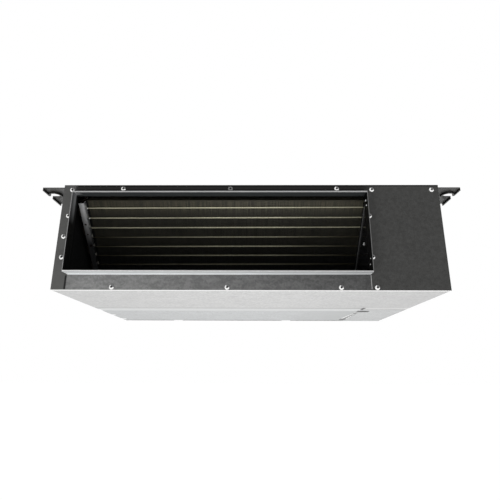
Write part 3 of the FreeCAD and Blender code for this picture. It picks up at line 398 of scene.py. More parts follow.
def coated(look, blotch, share, dark, pale):
    """Dark coating with soft blotches and a fine grain: its tint, its roughness and its grain."""
    broad = look.noise(blotch)
    fine = look.noise(0.0012, 2)
    both = look.weighted((broad, share), (fine, 1 - share))
    tint = look.mixed(look.spread(both, 0, 1, 0.35, 0.65), dark, pale)
    return tint, look.spread(broad, 0.43, 0.57), fine


def cover_finish():
    """Dark coating of the right cover, with painted shade along its top edge, and black where the
    top panel's edge laps it.
    """
    look = Finish("cover_coating")
    tint, rough, fine = coated(look, 0.006, 0.5, (0.056, 0.056, 0.054), (0.09, 0.09, 0.088))
    # Painted shade along the cover's top edge.
    tint = look.mixed(look.fade("Z", 197 * MM, 197.6 * MM), tint, (0.003, 0.003, 0.003))
    lapped = look.times(look.fade("X", 232 * MM, 214 * MM),
                        look.fade("Z", 184 * MM, 192 * MM, 0, 0.85))
    tint = look.mixed(lapped, tint, (0.012, 0.012, 0.012))
    return look.done(tint, rough, 0.0, fine, 0.00005, 0.15)


def side_finish():
    """Dark coated side panel, black where the top fold laps its front edge, paler low down, with a
    painted shadow line along its lower inner edge.
    """
    look = Finish("side_panel_coating")
    tint, rough, fine = coated(look, 0.03, 0.6, (0.088, 0.088, 0.085), (0.118, 0.118, 0.115))
    lapped = look.times(look.fade("X", -329 * MM, -327 * MM), look.fade("Z", 186 * MM, 188 * MM))
    tint = look.mixed(lapped, tint, (0.006, 0.006, 0.006))
    tint = look.mixed(look.fade("Z", 110 * MM, 10 * MM, 0, 0.35), tint, (0.14, 0.14, 0.135))
    # Painted shadow line where the side panel laps the strip below the outlet.
    seam_shadow = look.times(look.window("X", -327 * MM, -323 * MM, 1 * MM),
                      look.fade("Z", 27 * MM, 25 * MM))
    tint = look.mixed(seam_shadow, tint, SHADE_BLACK)
    return look.done(tint, rough, 0.0, fine, 0.00005, 0.3)


def strip_finish():
    """Zinc on edge below the outlet: cloudy dark metal, with a painted reflection that is lighter
    towards the left, and painted shade at its left end.
    """
    look = Finish("front_strip_zinc")
    cloud = look.noise(0.012, 5, (0.6, 1, 1.6))
    crystals = look.cells(0.003)
    both = look.weighted((cloud, 0.75), (crystals, 0.25))
    share = look.spread(both, 0, 1, 0.35, 0.65)
    light = look.mixed(share, (0.21, 0.21, 0.21), (0.325, 0.325, 0.32))
    dark = look.mixed(share, (0.04, 0.04, 0.04), (0.084, 0.084, 0.084))
    # Painted reflection, lighter towards the left.
    tint = look.mixed(look.fade("X", COLLAR_LOW.x, COLLAR_HIGH.x), light, dark)
    # Painted shade at the left end, under the side panel's edge.
    tint = look.mixed(look.fade("X", -296 * MM, -324 * MM, 0, 0.4), tint, (0.1, 0.1, 0.1))
    return look.done(tint, look.spread(crystals, 0.35, 0.5, 0, 1), 0.2, cloud, 0.00003)


def lip_finish():
    """Bright underside of the outlet collar, with a duller stripe behind its front edge, and
    painted shade towards the right.
    """
    look = Finish("collar_underside")
    streaks = look.noise(0.02, 4, (0.3, 6, 6))
    stripe = look.fade("Y", COLLAR_LOW.y + 9 * MM, COLLAR_LOW.y + 11 * MM)
    dull = look.grained(streaks, (0.58, 0.6, 0.61), (0.7, 0.72, 0.73))
    bright = look.grained(streaks, (0.9, 0.92, 0.94), (0.98, 1.0, 1.0))
    tint = look.mixed(stripe, dull, bright)
    # Painted shade towards the right.
    shaded = look.mixed(look.fade("X", 0, COLLAR_HIGH.x, 0, 0.35), tint, (0.1, 0.1, 0.1))
    return look.done(shaded, look.spread(streaks, 0.3, 0.45), 0.1, streaks, 0.00003)


def plate_finish():
    """Coil end plate: bare metal, near-white as a painted sheen, darker towards its outer edge and
    with painted shade lower down.
    """
    look = Finish("end_plate_metal")
    streaks = look.noise(0.01, 4, (6, 0.5, 0.5))
    # Near-white: a painted sheen of the bare metal.
    metal = look.grained(streaks, (0.85, 0.86, 0.87), (1.0, 1.0, 1.0))
    metal = look.mixed(look.fade("X", -319 * MM, -325 * MM, 0, 0.55), metal, (0.15, 0.15, 0.155))
    # Painted shade, darker lower down.
    tint = look.mixed(look.fade("Z", 158 * MM, 108 * MM), metal, (0.05, 0.05, 0.052))
    return look.done(tint, look.spread(streaks, 0.3, 0.42), 0.0, streaks, 0.00003)


def fin_finish():
    """Fin edges: brownish coating with fine upright lines, and painted shade that darkens them
    towards the pan, at the top under the collar and at the left end.
    """
    look = Finish("coated_fins")
    lines = look.noise(0.0023, 0, (1, 0.06, 0.06))
    lit_tint = look.grained(lines, (0.098, 0.092, 0.066), (0.2, 0.187, 0.135))
    dull = look.grained(lines, (0.052, 0.05, 0.039), (0.09, 0.086, 0.067))
    # Painted shade at the top, under the collar.
    lit_tint = look.mixed(look.fade("Z", 171 * MM, 176 * MM), lit_tint, (0.1, 0.094, 0.07))
    # Painted shade, darker towards the pan.
    shaded_low = look.mixed(look.fade("Z", 163 * MM, 152 * MM), lit_tint, dull)
    tint = look.mixed(look.fade("Z", 122 * MM, 85 * MM), shaded_low, (0.03, 0.03, 0.028))
    # Painted shadow of the end plate along the left end.
    tint = look.mixed(look.fade("X", FINS_LOW.x + 5 * MM, FINS_LOW.x + 3 * MM), tint,
                      (0.01, 0.01, 0.01))
    return look.done(tint, look.spread(lines, 0.4, 0.55), 0.2)


def gold_finish():
    """Gold coated collars along a tube row, bright as a painted highlight, with painted shade
    towards the pan and the coil's ends.
    """
    look = Finish("gold_collar_sheen")
    grain = look.noise(0.006, 3, (5, 1, 1))
    lit_tint = look.grained(grain, (0.67, 0.64, 0.44), (1.0, 0.98, 0.74))
    dark = (0.036, 0.031, 0.018)
    # Painted shade, darker lower down and in a band across the middle rows.
    tint = look.mixed(look.fade("Z", 135 * MM, 62 * MM, 0, 0.87), lit_tint, dark)
    tint = look.mixed(look.times(look.window("Z", 112 * MM, 124 * MM), 0.35), tint, dark)
    # Painted shade towards the coil's ends, more on the lower rows.
    ends = look.larger(look.fade("X", -70 * MM, -140 * MM), look.fade("X", 50 * MM, 120 * MM))
    tint = look.mixed(look.times(ends, 0.38), tint, dark)
    far = look.larger(look.fade("X", -140 * MM, -290 * MM), look.fade("X", 60 * MM, 200 * MM))
    low = look.times(far, look.fade("Z", 128 * MM, 122 * MM, 0, 0.9))
    tint = look.mixed(low, tint, dark)
    return look.done(tint, look.spread(grain, 0.4, 0.5), 0.2, specular=0.2)


STRIP = strip_finish()
LIP = lip_finish()
EDGE_HIGHLIGHT = edge_finish("collar_side_edge_highlight", 0.36, 0.2)
LOW_EDGE_HIGHLIGHT = edge_finish("collar_low_edge_highlight", 0.95, 0.62)
FOLD = fold_finish()
COVER = cover_finish()
SIDE = side_finish()
INNER = inner_finish()
PLATE = plate_finish()
FINS = fin_finish()
GOLD_SHEEN = gold_finish()

NODE_FINISH = {
    ZINC: ("return_collar", "outlet_collar", "fan_deck", "motor_bracket", "filter_rail_left",
           "filter_rail_right"),
    UNDER: ("bottom_front_panel",),
    REAR: ("bottom_rear_panel",),
    BOX: ("electrical_box",),
    SIDE: ("left_side_panel",),
    DARK: ("right_side_panel", "electrical_cover", "top_panel",
           "lug_front_left", "lug_rear_left", "lug_front_right", "lug_rear_right"),
    COVER: ("right_front_cover",),
    GLOSS: ("pipe_room_wall",),
    FINS: ("fin_pack",),
    PLATE: ("coil_end_plate", "motor_straps"),
    TUBE_END: ("coil_tubes",),
    COPPER: ("return_bends", "gas_pipe", "liquid_pipe"),
    SHADED_COPPER: ("hairpin_bends",),
    BRASS: ("gas_union", "liquid_union"),
    FOAM: ("side_lining", "top_lining", "pipe_seal"),
    PAN: ("drain_pan", "drain_stub"),
    SCROLL: ("left_scroll_upper", "left_scroll_lower", "right_scroll_upper",
             "right_scroll_lower"),
    WHEEL: ("left_fan_wheel", "right_fan_wheel"),
    MOTOR: ("motor_shell_left", "motor_shell_right"),
    STEEL: ("motor_stator", "motor_rotor", "motor_bearings", "fan_shaft", "transformer"),
    RUBBER: ("motor_rubbers", "cable_gland"),
    FILTER: ("filter_frame",),
    NET: ("filter_mesh_sheet",),
    BOARD: ("circuit_board",),
    TERMINAL: ("board_posts", "terminal_block", "fan_capacitor"),
    SCREW: ("front_screws",),
}

for finish, names in NODE_FINISH.items():
    for name in names:
        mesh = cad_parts[name].data
        mesh.materials.clear()
        mesh.materials.append(finish)


def paint(name, finish, chosen):
    """Give another finish to the faces of a CAD node that a test of normal and middle picks."""
    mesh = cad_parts[name].data
    mesh.materials.append(finish)
    for face in mesh.polygons:
        if chosen(face.normal, face.center):
            face.material_index = len(mesh.materials) - 1


MOUTH_MIDDLE = Vector(((COLLAR_LOW.x + COLLAR_HIGH.x) / 2, 0, 100 * MM))
# The collar's front edge: painted highlights at the bottom and up the sides, painted shadow along
# the top.
EDGE_BANDS = ((40 * MM, 177 * MM, EDGE_HIGHLIGHT), (0, 40 * MM, LOW_EDGE_HIGHLIGHT), (177 * MM, 200 * MM, SHADOW_BLACK))
TAB_UNDER, TAB_BEHIND = 7.5 * MM, 222.2 * MM


def faces_inward(normal, middle):
    return abs(normal.y) < 0.5 and normal.dot(MOUTH_MIDDLE - Vector((middle.x, 0, middle.z))) > 0


def faces_front(normal, middle):
    return normal.y < -0.9


def is_lip(normal, middle):
    return (normal.z < -0.9 and middle.z < COLLAR_LOW.z + 40 * MM
            and middle.y < FRONT + 1 * MM)


paint("outlet_collar", INNER, faces_inward)
paint("outlet_collar", LIP, is_lip)
for low, high, edge in EDGE_BANDS:
    paint("outlet_collar", edge, lambda normal, middle: faces_front(normal, middle)
          and middle.y < FRONT - 10 * MM and low < middle.z < high)
paint("bottom_front_panel", STRIP, faces_front)
paint("top_panel", FOLD, faces_front)
paint("filter_frame", TAB, lambda normal, middle: middle.z < TAB_UNDER and middle.y > TAB_BEHIND)


# Pieces

BOX_FACES = ((0, 1, 3, 2), (4, 6, 7, 5), (0, 4, 5, 1), (2, 3, 7, 6), (0, 2, 6, 4), (1, 5, 7, 3))


def piece(name, mesh, finishes, body, slot, *nodes):
    """Make an object of a mesh, let it ride on a body and stand for CAD nodes, if any."""
    data = bpy.data.meshes.new(name)
    mesh.to_mesh(data)
    mesh.free()
    for finish in finishes:
        data.materials.append(finish)
    made = bpy.data.objects.new(name, data)
    bpy.context.scene.collection.objects.link(made)
    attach(made, body)
    if nodes:
        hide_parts(*nodes)
    return made


def add_box(mesh, low, high, place=Matrix(), finish=0):
    """A box between two corners, which a matrix may place."""
    corners = [place @ Vector((x, y, z)) for x in (low[0], high[0]) for y in (low[1], high[1])
               for z in (low[2], high[2])]
    spots = [mesh.verts.new(corner) for corner in corners]
    for face in BOX_FACES:
        made = mesh.faces.new([spots[i] for i in face])
        made.material_index = finish


# The coil: thin fins with a bright line, a painted highlight, at each tube row of the near column.
COIL_LEAN = math.asin(146 / 210)
COIL_LONG = 210 * MM
COIL_THICK = 26.6 * MM
FIN_PITCH = 1.7 * MM
FIN_THIN = 0.2 * MM
TUBE_PITCH = 21 * MM
LINE_HALF = 1.05 * MM
CORE_INSET = 0.5 * MM
CORE_DEPTH = 2.5 * MM
LINE_PROUD = 0.4 * MM
LINE_TILT = math.radians(0.2)
FIRST_LINE = 0.66
LINES = 10
DOMED_LINES = 2

COIL_PLACE = (Matrix.Translation(Vector((0, FRONT + 10 * MM, 173 * MM)))
              @ Matrix.Rotation(-COIL_LEAN, 4, "X"))


def make_fins():
    mesh = bmesh.new()
    count = int((FINS_HIGH.x - FINS_LOW.x) / FIN_PITCH)
    for i in range(count + 1):
        x = FINS_LOW.x + (FINS_HIGH.x - FINS_LOW.x - FIN_THIN) * i / count
        add_box(mesh, (x, 0, 0), (x + FIN_THIN, COIL_LONG, COIL_THICK), COIL_PLACE)
    add_box(mesh, (FINS_LOW.x, CORE_INSET, CORE_DEPTH),
            (FINS_HIGH.x, COIL_LONG - CORE_INSET, COIL_THICK - CORE_DEPTH), COIL_PLACE)
    right_end = Matrix.Translation(Vector((FINS_HIGH.x, 0, 0)))
    tilted = COIL_PLACE @ right_end @ Matrix.Rotation(-LINE_TILT, 4, "Z") @ right_end.inverted()
    for row in range(LINES):
        middle = TUBE_PITCH * (row + FIRST_LINE)
        add_box(mesh, (FINS_LOW.x, middle - LINE_HALF, -LINE_PROUD),
                (FINS_HIGH.x, middle + LINE_HALF, 2 * LINE_PROUD), tilted, 1)
        if row < DOMED_LINES:
            add_dome(mesh, tilted @ Vector((FINS_LOW.x + 1 * MM, middle, -1 * MM)), (0, -1, -1),
                     1.6 * MM, 1.5 * MM, 2)
    piece("coil_fins", mesh, (FINS, GOLD_SHEEN, RIVET), "casing", "fin_aluminium", "fin_pack")


DOME_STEPS = 3


def add_dome(mesh, middle, axis, radius, rise, finish=0, sides=12):
    """A low round head whose base stands at a place and which bulges along an axis."""
    turned = Vector(axis).to_track_quat("Z", "Y")
    rings = []
    for step in range(DOME_STEPS + 1):
        lean = math.radians(85) * step / DOME_STEPS
        rings.append([mesh.verts.new(middle + turned @ Vector((
            radius * math.cos(lean) * math.cos(2 * math.pi * k / sides),
            radius * math.cos(lean) * math.sin(2 * math.pi * k / sides),
            rise * math.sin(lean)))) for k in range(sides)])
    for near, far in zip(rings, rings[1:]):
        for k in range(sides):
            face = mesh.faces.new((near[k], near[(k + 1) % sides], far[(k + 1) % sides], far[k]))
            face.smooth = True
            face.material_index = finish
    for ring in (rings[-1], list(reversed(rings[0]))):
        face = mesh.faces.new(ring)
        face.material_index = finish


make_fins()


# The coil's left end plate: a web along the fins and a flange with three holes.
PLATE_THICK = 1.2 * MM
FLANGE_THICK = 1 * MM
FLANGE_LEFT = -325.8 * MM
FLANGE_RIGHT = -316.8 * MM
FLANGE_START = 5.5 * MM
# Place across and along the flange and radius of each hole, in millimetres.
FLANGE_HOLES = ((-321.6, 50.5, 2.2), (-321.6, 72.0, 2.0), (-319.8, 97.6, 3.2))
HOLE_SIDES = 16
MANY_VERTS = 1000


def make_end_plate():
    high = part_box("coil_end_plate")[1]
    mesh = bmesh.new()
    add_box(mesh, (high.x - PLATE_THICK, FLANGE_START, -PLATE_THICK),
            (high.x, COIL_LONG, COIL_THICK), COIL_PLACE)
    outline = ((FLANGE_LEFT, FLANGE_START), (FLANGE_RIGHT, FLANGE_START),
               (FLANGE_RIGHT, COIL_LONG), (FLANGE_LEFT, COIL_LONG))
    edges = add_loop(mesh, outline, -PLATE_THICK)
    for x, along, radius in FLANGE_HOLES:
        turns = [2 * math.pi * k / HOLE_SIDES for k in range(HOLE_SIDES)]
        edges += add_loop(mesh, [(x * MM + radius * MM * math.cos(turn),
                                  along * MM + radius * MM * math.sin(turn)) for turn in turns],
                          -PLATE_THICK)
    filled = bmesh.ops.triangle_fill(mesh, use_beauty=True, edges=edges)["geom"]
    faces = [part for part in filled if isinstance(part, bmesh.types.BMFace)]
    grown = bmesh.ops.extrude_face_region(mesh, geom=faces)["geom"]
    inward = COIL_PLACE.to_3x3() @ Vector((0, 0, FLANGE_THICK))
    bmesh.ops.translate(mesh, vec=inward, verts=[part for part in grown
                                                 if isinstance(part, bmesh.types.BMVert)])
    bmesh.ops.recalc_face_normals(mesh, faces=mesh.faces)
    mesh.verts.index_update()
    mesh.faces.sort(key=face_rank)
    piece("coil_left_plate", mesh, (PLATE,), "casing", "plate_steel", "coil_end_plate")


def face_rank(face):
    """A number from a face's first corners, which puts the faces in the same order each run."""
    first, second, third = sorted(vert.index for vert in face.verts)[:3]
    return (first * MANY_VERTS + second) * MANY_VERTS + third


def add_loop(mesh, points, depth):
    """A closed outline at a depth of the coil's leaning frame."""
    spots = [mesh.verts.new(COIL_PLACE @ Vector((x, y, depth))) for x, y in points]
    return [mesh.edges.new((a, b)) for a, b in zip(spots, spots[1:] + spots[:1])]


make_end_plate()


# The rest of the outlet: the right end plate, rivets, the collar's hems and the cover's edge.
INSIDE_RIGHT = COLLAR_HIGH.x - 14 * MM
HEM_LEFT = COLLAR_LOW.x + 18 * MM
HEM_DEEP = 1.2 * MM
TOP_HEM = (175.7 * MM, 178 * MM)
LOW_HEM = (29 * MM, 30 * MM)
ROOT_HEM_LOW, ROOT_HEM_TALL = 27.1 * MM, 0.9 * MM
COVER_EDGE_LOW = (212 * MM, FRONT - 0.3 * MM, 2 * MM)
COVER_EDGE_HIGH = (213 * MM, FRONT, 27 * MM)
FLANGE_PROUD = 10 * MM
FLANGE_RIM = 0.3 * MM
# Depth, height and radius of each rivet, in millimetres.
COLLAR_RIVETS = ((-235.4, 164.2, 2), (-237.4, 153.9, 1.6), (-236.4, 54.3, 1.1), (-232.3, 44.7, 1.3))
WALL_RIVETS = ((-191, 96.6, 1.6), (-190.6, 94.2, 2.4))


def make_right_plate():
    mesh = bmesh.new()
    wall = FINS_HIGH.x - 0.2 * MM
    end = COIL_LONG - FLANGE_START
    add_box(mesh, (wall - 1 * MM, FLANGE_START, -FLANGE_PROUD), (wall, end, 0), COIL_PLACE)
    add_box(mesh, (wall - 1.5 * MM, FLANGE_START, -FLANGE_PROUD - FLANGE_RIM),
            (wall, end, -FLANGE_PROUD), COIL_PLACE, 1)
    piece("coil_right_plate", mesh, (GLOSS, PLATE_EDGE), "casing", "plate_steel")


def make_rivets():
    mesh = bmesh.new()
    for x, places in ((INSIDE_RIGHT, COLLAR_RIVETS), (FINS_HIGH.x, WALL_RIVETS)):
        for y, z, radius in places:
            add_dome(mesh, Vector((x, y * MM, z * MM)), (-1, 0, 0), radius * MM, 0.8 * radius * MM)
    piece("outlet_rivets", mesh, (RIVET,), "casing", "screw_steel")


def make_hems():
    mesh = bmesh.new()
    for (low, high), finish in ((TOP_HEM, 0), (LOW_HEM, 1)):
        add_box(mesh, (HEM_LEFT, COLLAR_LOW.y, low),
                (INSIDE_RIGHT, COLLAR_LOW.y + HEM_DEEP, high), finish=finish)
    long = INSIDE_RIGHT - HEM_LEFT
    sloped = (Matrix.Translation(Vector((HEM_LEFT, FRONT, ROOT_HEM_LOW)))
              @ Matrix.Rotation(-math.atan2(ROOT_HEM_TALL, long), 4, "Y"))
    add_box(mesh, (0, -HEM_DEEP, 0), (long, 0, ROOT_HEM_TALL), sloped, 2)
    piece("collar_hem", mesh, (HEM, LOW_EDGE_HIGHLIGHT, LIP), "casing", "collar_sheet")


def make_cover_edge():
    mesh = bmesh.new()
    add_box(mesh, COVER_EDGE_LOW, COVER_EDGE_HIGH)
    piece("cover_edge", mesh, (HEM,), "casing", "dark_sheet")


make_right_plate()
make_rivets()
make_hems()
make_cover_edge()


# The lugs: pressed plates whose rims turn down at the outer edge and round the hook, with painted
# shade on the rims' upright faces.
LUGS = ("lug_front_left", "lug_rear_left", "lug_front_right", "lug_rear_right")
LUG_TOP = 199.6 * MM
LUG_UNDER = 197.4 * MM
LUG_SHEET = 2 * MM
NEARBY = 0.5 * MM
HOOK_INNER = 360 * MM
HOOK_OUTER = 392.5 * MM
HOOK_SQUEEZE = 0.17
HOOK_NEAR = 24 * MM
MOUTH_START = 30 * MM
MOUTH_INNER = 384 * MM
MOUTH_WIDER = 4 * MM
OUTER_RIM = 393 * MM
LEG_OUT, LEG_UP = 351 * MM, 179 * MM
LEG_SCREWS = (-24 * MM, 24 * MM)


def make_lugs():
    for name in LUGS:
        low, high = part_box(name)
        mesh = bmesh.new()
        mesh.from_mesh(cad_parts[name].data)
        for vert in mesh.verts:
            reshape_lug(vert, low, high)
        for face in mesh.faces:
            # The rims' upright faces get painted shade.
            if is_rim(face, low):
                face.material_index = 2
        out = -1 if low.x < 0 else 1
        for along in LEG_SCREWS:
            place = Vector((out * LEG_OUT, (low.y + high.y) / 2 + along, LEG_UP))
            add_dome(mesh, place, (out, 0, 0), 4 * MM, 2.5 * MM, 1)
        piece("pressed_" + name, mesh, (DARK, SCREW, LUG_RIM_SHADE), "casing", "dark_sheet", name)


def reshape_lug(vert, low, high):
    """Deeper rims, a narrower hook and a wider mouth."""
    reach = abs(vert.co.x)
    if vert.co.z > high.z - NEARBY:
        vert.co.z = LUG_TOP
    elif vert.co.z > high.z - LUG_SHEET - NEARBY:
        vert.co.z = LUG_UNDER
    if HOOK_INNER < reach < HOOK_OUTER:
        vert.co.x *= 1 + HOOK_SQUEEZE * (HOOK_OUTER - reach) / reach
    if abs(vert.co.y - low.y - MOUTH_START) < NEARBY and reach > MOUTH_INNER:
        vert.co.y -= MOUTH_WIDER


def is_rim(face, low):
    """Upright faces at the outer edge and round the near half of the hook."""
    middle = face.calc_center_median()
    reach = abs(middle.x)
    near = middle.y < low.y + HOOK_NEAR and reach > HOOK_INNER
    return abs(face.normal.z) < 0.5 and middle.z < LUG_UNDER and (near or reach > OUTER_RIM)


make_lugs()


# Screws: pan heads with a cross recess, with painted shade on the upper right of each head and in
# the recess.
HEAD_RADIUS = 4.6 * MM
HEAD_RISE = 2.4 * MM
HEAD_SIDES = 32
HEAD_STEPS = 8
HEAD_TURN = math.radians(82)
# Shares of the head's radius and rise that its dome starts from.
DOME_INNER, DOME_BASE = 0.35, 0.25
CROSS_ARM = 0.5 * HEAD_RADIUS
CROSS_SLOT = 0.16 * HEAD_RADIUS * 1.35
CROSS_RISE, CROSS_FLOOR, CROSS_TAPER = 0.97, 0.25, 0.6
BRIGHT_PART, DARK_PART, RECESS_SHADE_PART = 0, 1, 2
# Degrees of a head's turn between which it is bright, the rest being painted shade, and the place
# of the head that is dark all over.
BRIGHT_FROM, BRIGHT_TO = 110, 350
DARK_HEAD_ABOVE, DARK_HEAD_WITHIN = 190 * MM, 60 * MM


def make_screws():
    mesh = bmesh.new()
    for x, z in head_places():
        worn = z > DARK_HEAD_ABOVE and abs(x) < DARK_HEAD_WITHIN
        add_head(mesh, Vector((x, FRONT, z)), worn)
    piece("front_screw_heads", mesh, (SCREW, SCREW_DARK, RECESS_SHADE), "casing", "screw_steel",
          "front_screws")


def head_places():
    """Middle of each head of the CAD node, across and up the front face."""
    heads = []
    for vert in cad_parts["front_screws"].data.vertices:
        x, z = vert.co.x, vert.co.z
        for spots in heads:
            if abs(spots[0][0] - x) + abs(spots[0][1] - z) < 4 * HEAD_RADIUS:
                spots.append((x, z))
                break
        else:
            heads.append([(x, z)])
    return [[(min(side) + max(side)) / 2 for side in zip(*spots)] for spots in heads]


def add_ring(mesh, middle, reach, out):
    """A ring of points about a screw's axis; reach is a length or a rule of the angle."""
    ring = []
    for k in range(HEAD_SIDES):
        turn = 2 * math.pi * k / HEAD_SIDES
        radius = reach(turn) if callable(reach) else reach
        ring.append(mesh.verts.new(middle + Vector((radius * math.cos(turn), -out,
                                                    radius * math.sin(turn)))))
    return ring


def cross(turn):
    """How far a cross recess reaches from its middle at an angle."""
    side = min(abs(math.cos(turn)), abs(math.sin(turn)))
    return min(CROSS_ARM, CROSS_SLOT / max(side, 0.01))


def add_head(mesh, middle, worn):
    """A domed head with a cross recess in painted shade; the one at the top middle is dark all
    over.
    """
    rings = []
    for i in range(HEAD_STEPS):
        turn = HEAD_TURN * i / (HEAD_STEPS - 1)
        rings.append(add_ring(
            mesh, middle, HEAD_RADIUS * (DOME_INNER + (1 - DOME_INNER) * math.cos(turn)),
            HEAD_RISE * (DOME_BASE + (1 - DOME_BASE) * math.sin(turn))))
    rings.insert(0, add_ring(mesh, middle, HEAD_RADIUS, 0))
    rings.append(add_ring(mesh, middle, cross, HEAD_RISE * CROSS_RISE))
    smooth = len(rings) - 1
    rings.append(add_ring(mesh, middle, lambda turn: CROSS_TAPER * cross(turn),
                          HEAD_RISE * CROSS_FLOOR))
    for step, (near, far) in enumerate(zip(rings, rings[1:])):
        for k in range(HEAD_SIDES):
            after = (k + 1) % HEAD_SIDES
            face = mesh.faces.new((near[k], near[after], far[after], far[k]))
            face.smooth = 0 < step < smooth
            if step >= smooth:
                face.material_index = RECESS_SHADE_PART
            else:
                face.material_index = DARK_PART if worn else head_finish(k)
    bottom = mesh.faces.new(rings[-1])
    bottom.material_index = RECESS_SHADE_PART


def head_finish(k):
    """The upper right of a head is painted shade, the rest is bright."""
    turn = 360 * (k + 0.5) / HEAD_SIDES
    return DARK_PART if turn < BRIGHT_FROM or turn > BRIGHT_TO else BRIGHT_PART


make_screws()


# Fan wheels: many thin forward-curved blades between a middle disc and two end rings.
WHEEL_BLADES = 40
BLADE_DEEP = 10 * MM
BLADE_THIN = 0.8 * MM
BLADE_LEAD = math.radians(14)
BLADE_STEPS = 4
RING_WIDE = 3 * MM
DISC_HALF = 1 * MM
HUB_HALF = 14 * MM
HUB_RADIUS = 13 * MM
BORE_RADIUS = 6.2 * MM


def add_lathed(mesh, axle, profile, sides=64):
    """Turn a closed outline of places along X and radii about an axle that runs along X."""
    rings = [[mesh.verts.new(axle + Vector((x, radius * math.cos(2 * math.pi * k / sides),
                                            radius * math.sin(2 * math.pi * k / sides))))
              for k in range(sides)] for x, radius in profile]
    for near, far in zip(rings, rings[1:] + rings[:1]):
        for k in range(sides):
            after = (k + 1) % sides
            mesh.faces.new((near[k], near[after], far[after], far[k]))


def add_blade(mesh, axle, outer, start, end, turned):
    """One blade from an inner radius out to the rim, bent forwards, between two places along X."""
    near, far = [], []
    for step in range(BLADE_STEPS + 1):
        share = step / BLADE_STEPS
        radius = outer - BLADE_DEEP * (1 - share)
        for row, slip in ((near, 0), (far, BLADE_THIN / outer)):
            turn = turned + BLADE_LEAD * share ** 2 + slip
            row.append((radius * math.cos(turn), radius * math.sin(turn)))
    outline = near + far[::-1]
    ends = [[mesh.verts.new(axle + Vector((x, y, z))) for y, z in outline] for x in (start, end)]
    count = len(outline)
    for k in range(count):
        after = (k + 1) % count
        mesh.faces.new((ends[0][k], ends[0][after], ends[1][after], ends[1][k]))
    for step in range(BLADE_STEPS):
        quad = (step, step + 1, count - 2 - step, count - 1 - step)
        mesh.faces.new([ends[0][k] for k in reversed(quad)])
        mesh.faces.new([ends[1][k] for k in quad])


def make_wheels():
    for name in ("left_fan_wheel", "right_fan_wheel"):
        low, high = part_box(name)
        rim = (high.z - low.z) / 2
        outer = rim - 1 * MM
        ring_inner = outer - BLADE_DEEP / 2
        half = (high.x - low.x) / 2
        axle = (low + high) / 2
        mesh = bmesh.new()
        for start, end, inner, reach in (
                (-half, RING_WIDE - half, ring_inner, rim),
                (half - RING_WIDE, half, ring_inner, rim),
                (-DISC_HALF, DISC_HALF, HUB_RADIUS - 1 * MM, outer + 0.5 * MM),
                (-HUB_HALF, HUB_HALF, BORE_RADIUS, HUB_RADIUS)):
            add_lathed(mesh, axle, ((start, inner), (end, inner), (end, reach), (start, reach)))
        for k in range(WHEEL_BLADES):
            turned = 2 * math.pi * k / WHEEL_BLADES
            add_blade(mesh, axle, outer, 0.5 * RING_WIDE - half, 0, turned)
            add_blade(mesh, axle, outer, 0, half - 0.5 * RING_WIDE,
                      turned + math.pi / WHEEL_BLADES)
        bmesh.ops.recalc_face_normals(mesh, faces=mesh.faces)
        piece("bladed_" + name, mesh, (WHEEL,), "fan_rotor", "wheel_plastic", name)


make_wheels()


# Round CAD solids again, with smooth shading over their flats.
SMOOTHED = (
    (("left_scroll_upper", "left_scroll_lower", "right_scroll_upper", "right_scroll_lower"),
     SCROLL, "scroll_plastic", "casing"),
    (("motor_shell_left", "motor_shell_right"), MOTOR, "motor_paint", "casing"),
    (("drain_stub",), PAN, "pan_plastic", "casing"),
    (("gas_pipe", "liquid_pipe"), COPPER, "copper", "casing"),
    (("gas_union", "liquid_union"), BRASS, "brass", "casing"),
    (("fan_shaft",), STEEL, "core_steel", "fan_rotor"),
)
SHARP_ANGLE = math.radians(28)
WELD = 0.01 * MM


def make_smooth():
    for names, finish, slot, body in SMOOTHED:
        for name in names:
            mesh = bmesh.new()
            mesh.from_mesh(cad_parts[name].data)
            bmesh.ops.remove_doubles(mesh, verts=mesh.verts, dist=WELD)
            for face in mesh.faces:
                face.smooth = True
                face.material_index = 0
            for edge in mesh.edges:
                edge.smooth = len(edge.link_faces) == 2 and edge.calc_face_angle() < SHARP_ANGLE
            piece("smooth_" + name, mesh, (finish,), body, slot, name)


make_smooth()


# The net of the filter: crossed threads.
THREAD = 0.3 * MM
THREAD_PITCH = 2.2 * MM


def make_net():
    low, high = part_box("filter_mesh_sheet")
    mesh = bmesh.new()
    middle = (low.y + high.y) / 2
    for i in range(int((high.x - low.x) / THREAD_PITCH) + 1):
        x = min(low.x + i * THREAD_PITCH, high.x - THREAD)
        add_box(mesh, (x, middle - THREAD, low.z), (x + THREAD, middle, high.z))
    for i in range(int((high.z - low.z) / THREAD_PITCH) + 1):
        z = min(low.z + i * THREAD_PITCH, high.z - THREAD)
        add_box(mesh, (low.x, middle, z), (high.x, middle + THREAD, z + THREAD))
    piece("filter_net", mesh, (NET,), "air_filter", "filter_net", "filter_mesh_sheet")


make_net()


# Camera: found by fitting the casing's edges to the photograph.
LENS = 29.95
SENSOR = 36
CAMERA_AT = Vector((8.4, -940.4, -136.8)) * MM
YAW = math.radians(-0.685)
PITCH = math.radians(16.335)
ROLL = math.radians(0.255)


def make_camera():
    ahead = Vector((math.sin(YAW) * math.cos(PITCH), math.cos(YAW) * math.cos(PITCH),
                    math.sin(PITCH)))
    level = Vector((math.cos(YAW), -math.sin(YAW), 0))
    above = level.cross(ahead)
    right = level * math.cos(ROLL) + above * math.sin(ROLL)
    up = above * math.cos(ROLL) - level * math.sin(ROLL)
    data = bpy.data.cameras.new("photo_camera")
    data.lens = LENS
    data.sensor_width = SENSOR
    data.clip_start = 0.01
    camera = bpy.data.objects.new("photo_camera", data)
    turned = Matrix((right, up, -ahead)).transposed().to_4x4()
    camera.matrix_world = Matrix.Translation(CAMERA_AT) @ turned
    bpy.context.scene.collection.objects.link(camera)
    bpy.context.scene.camera = camera


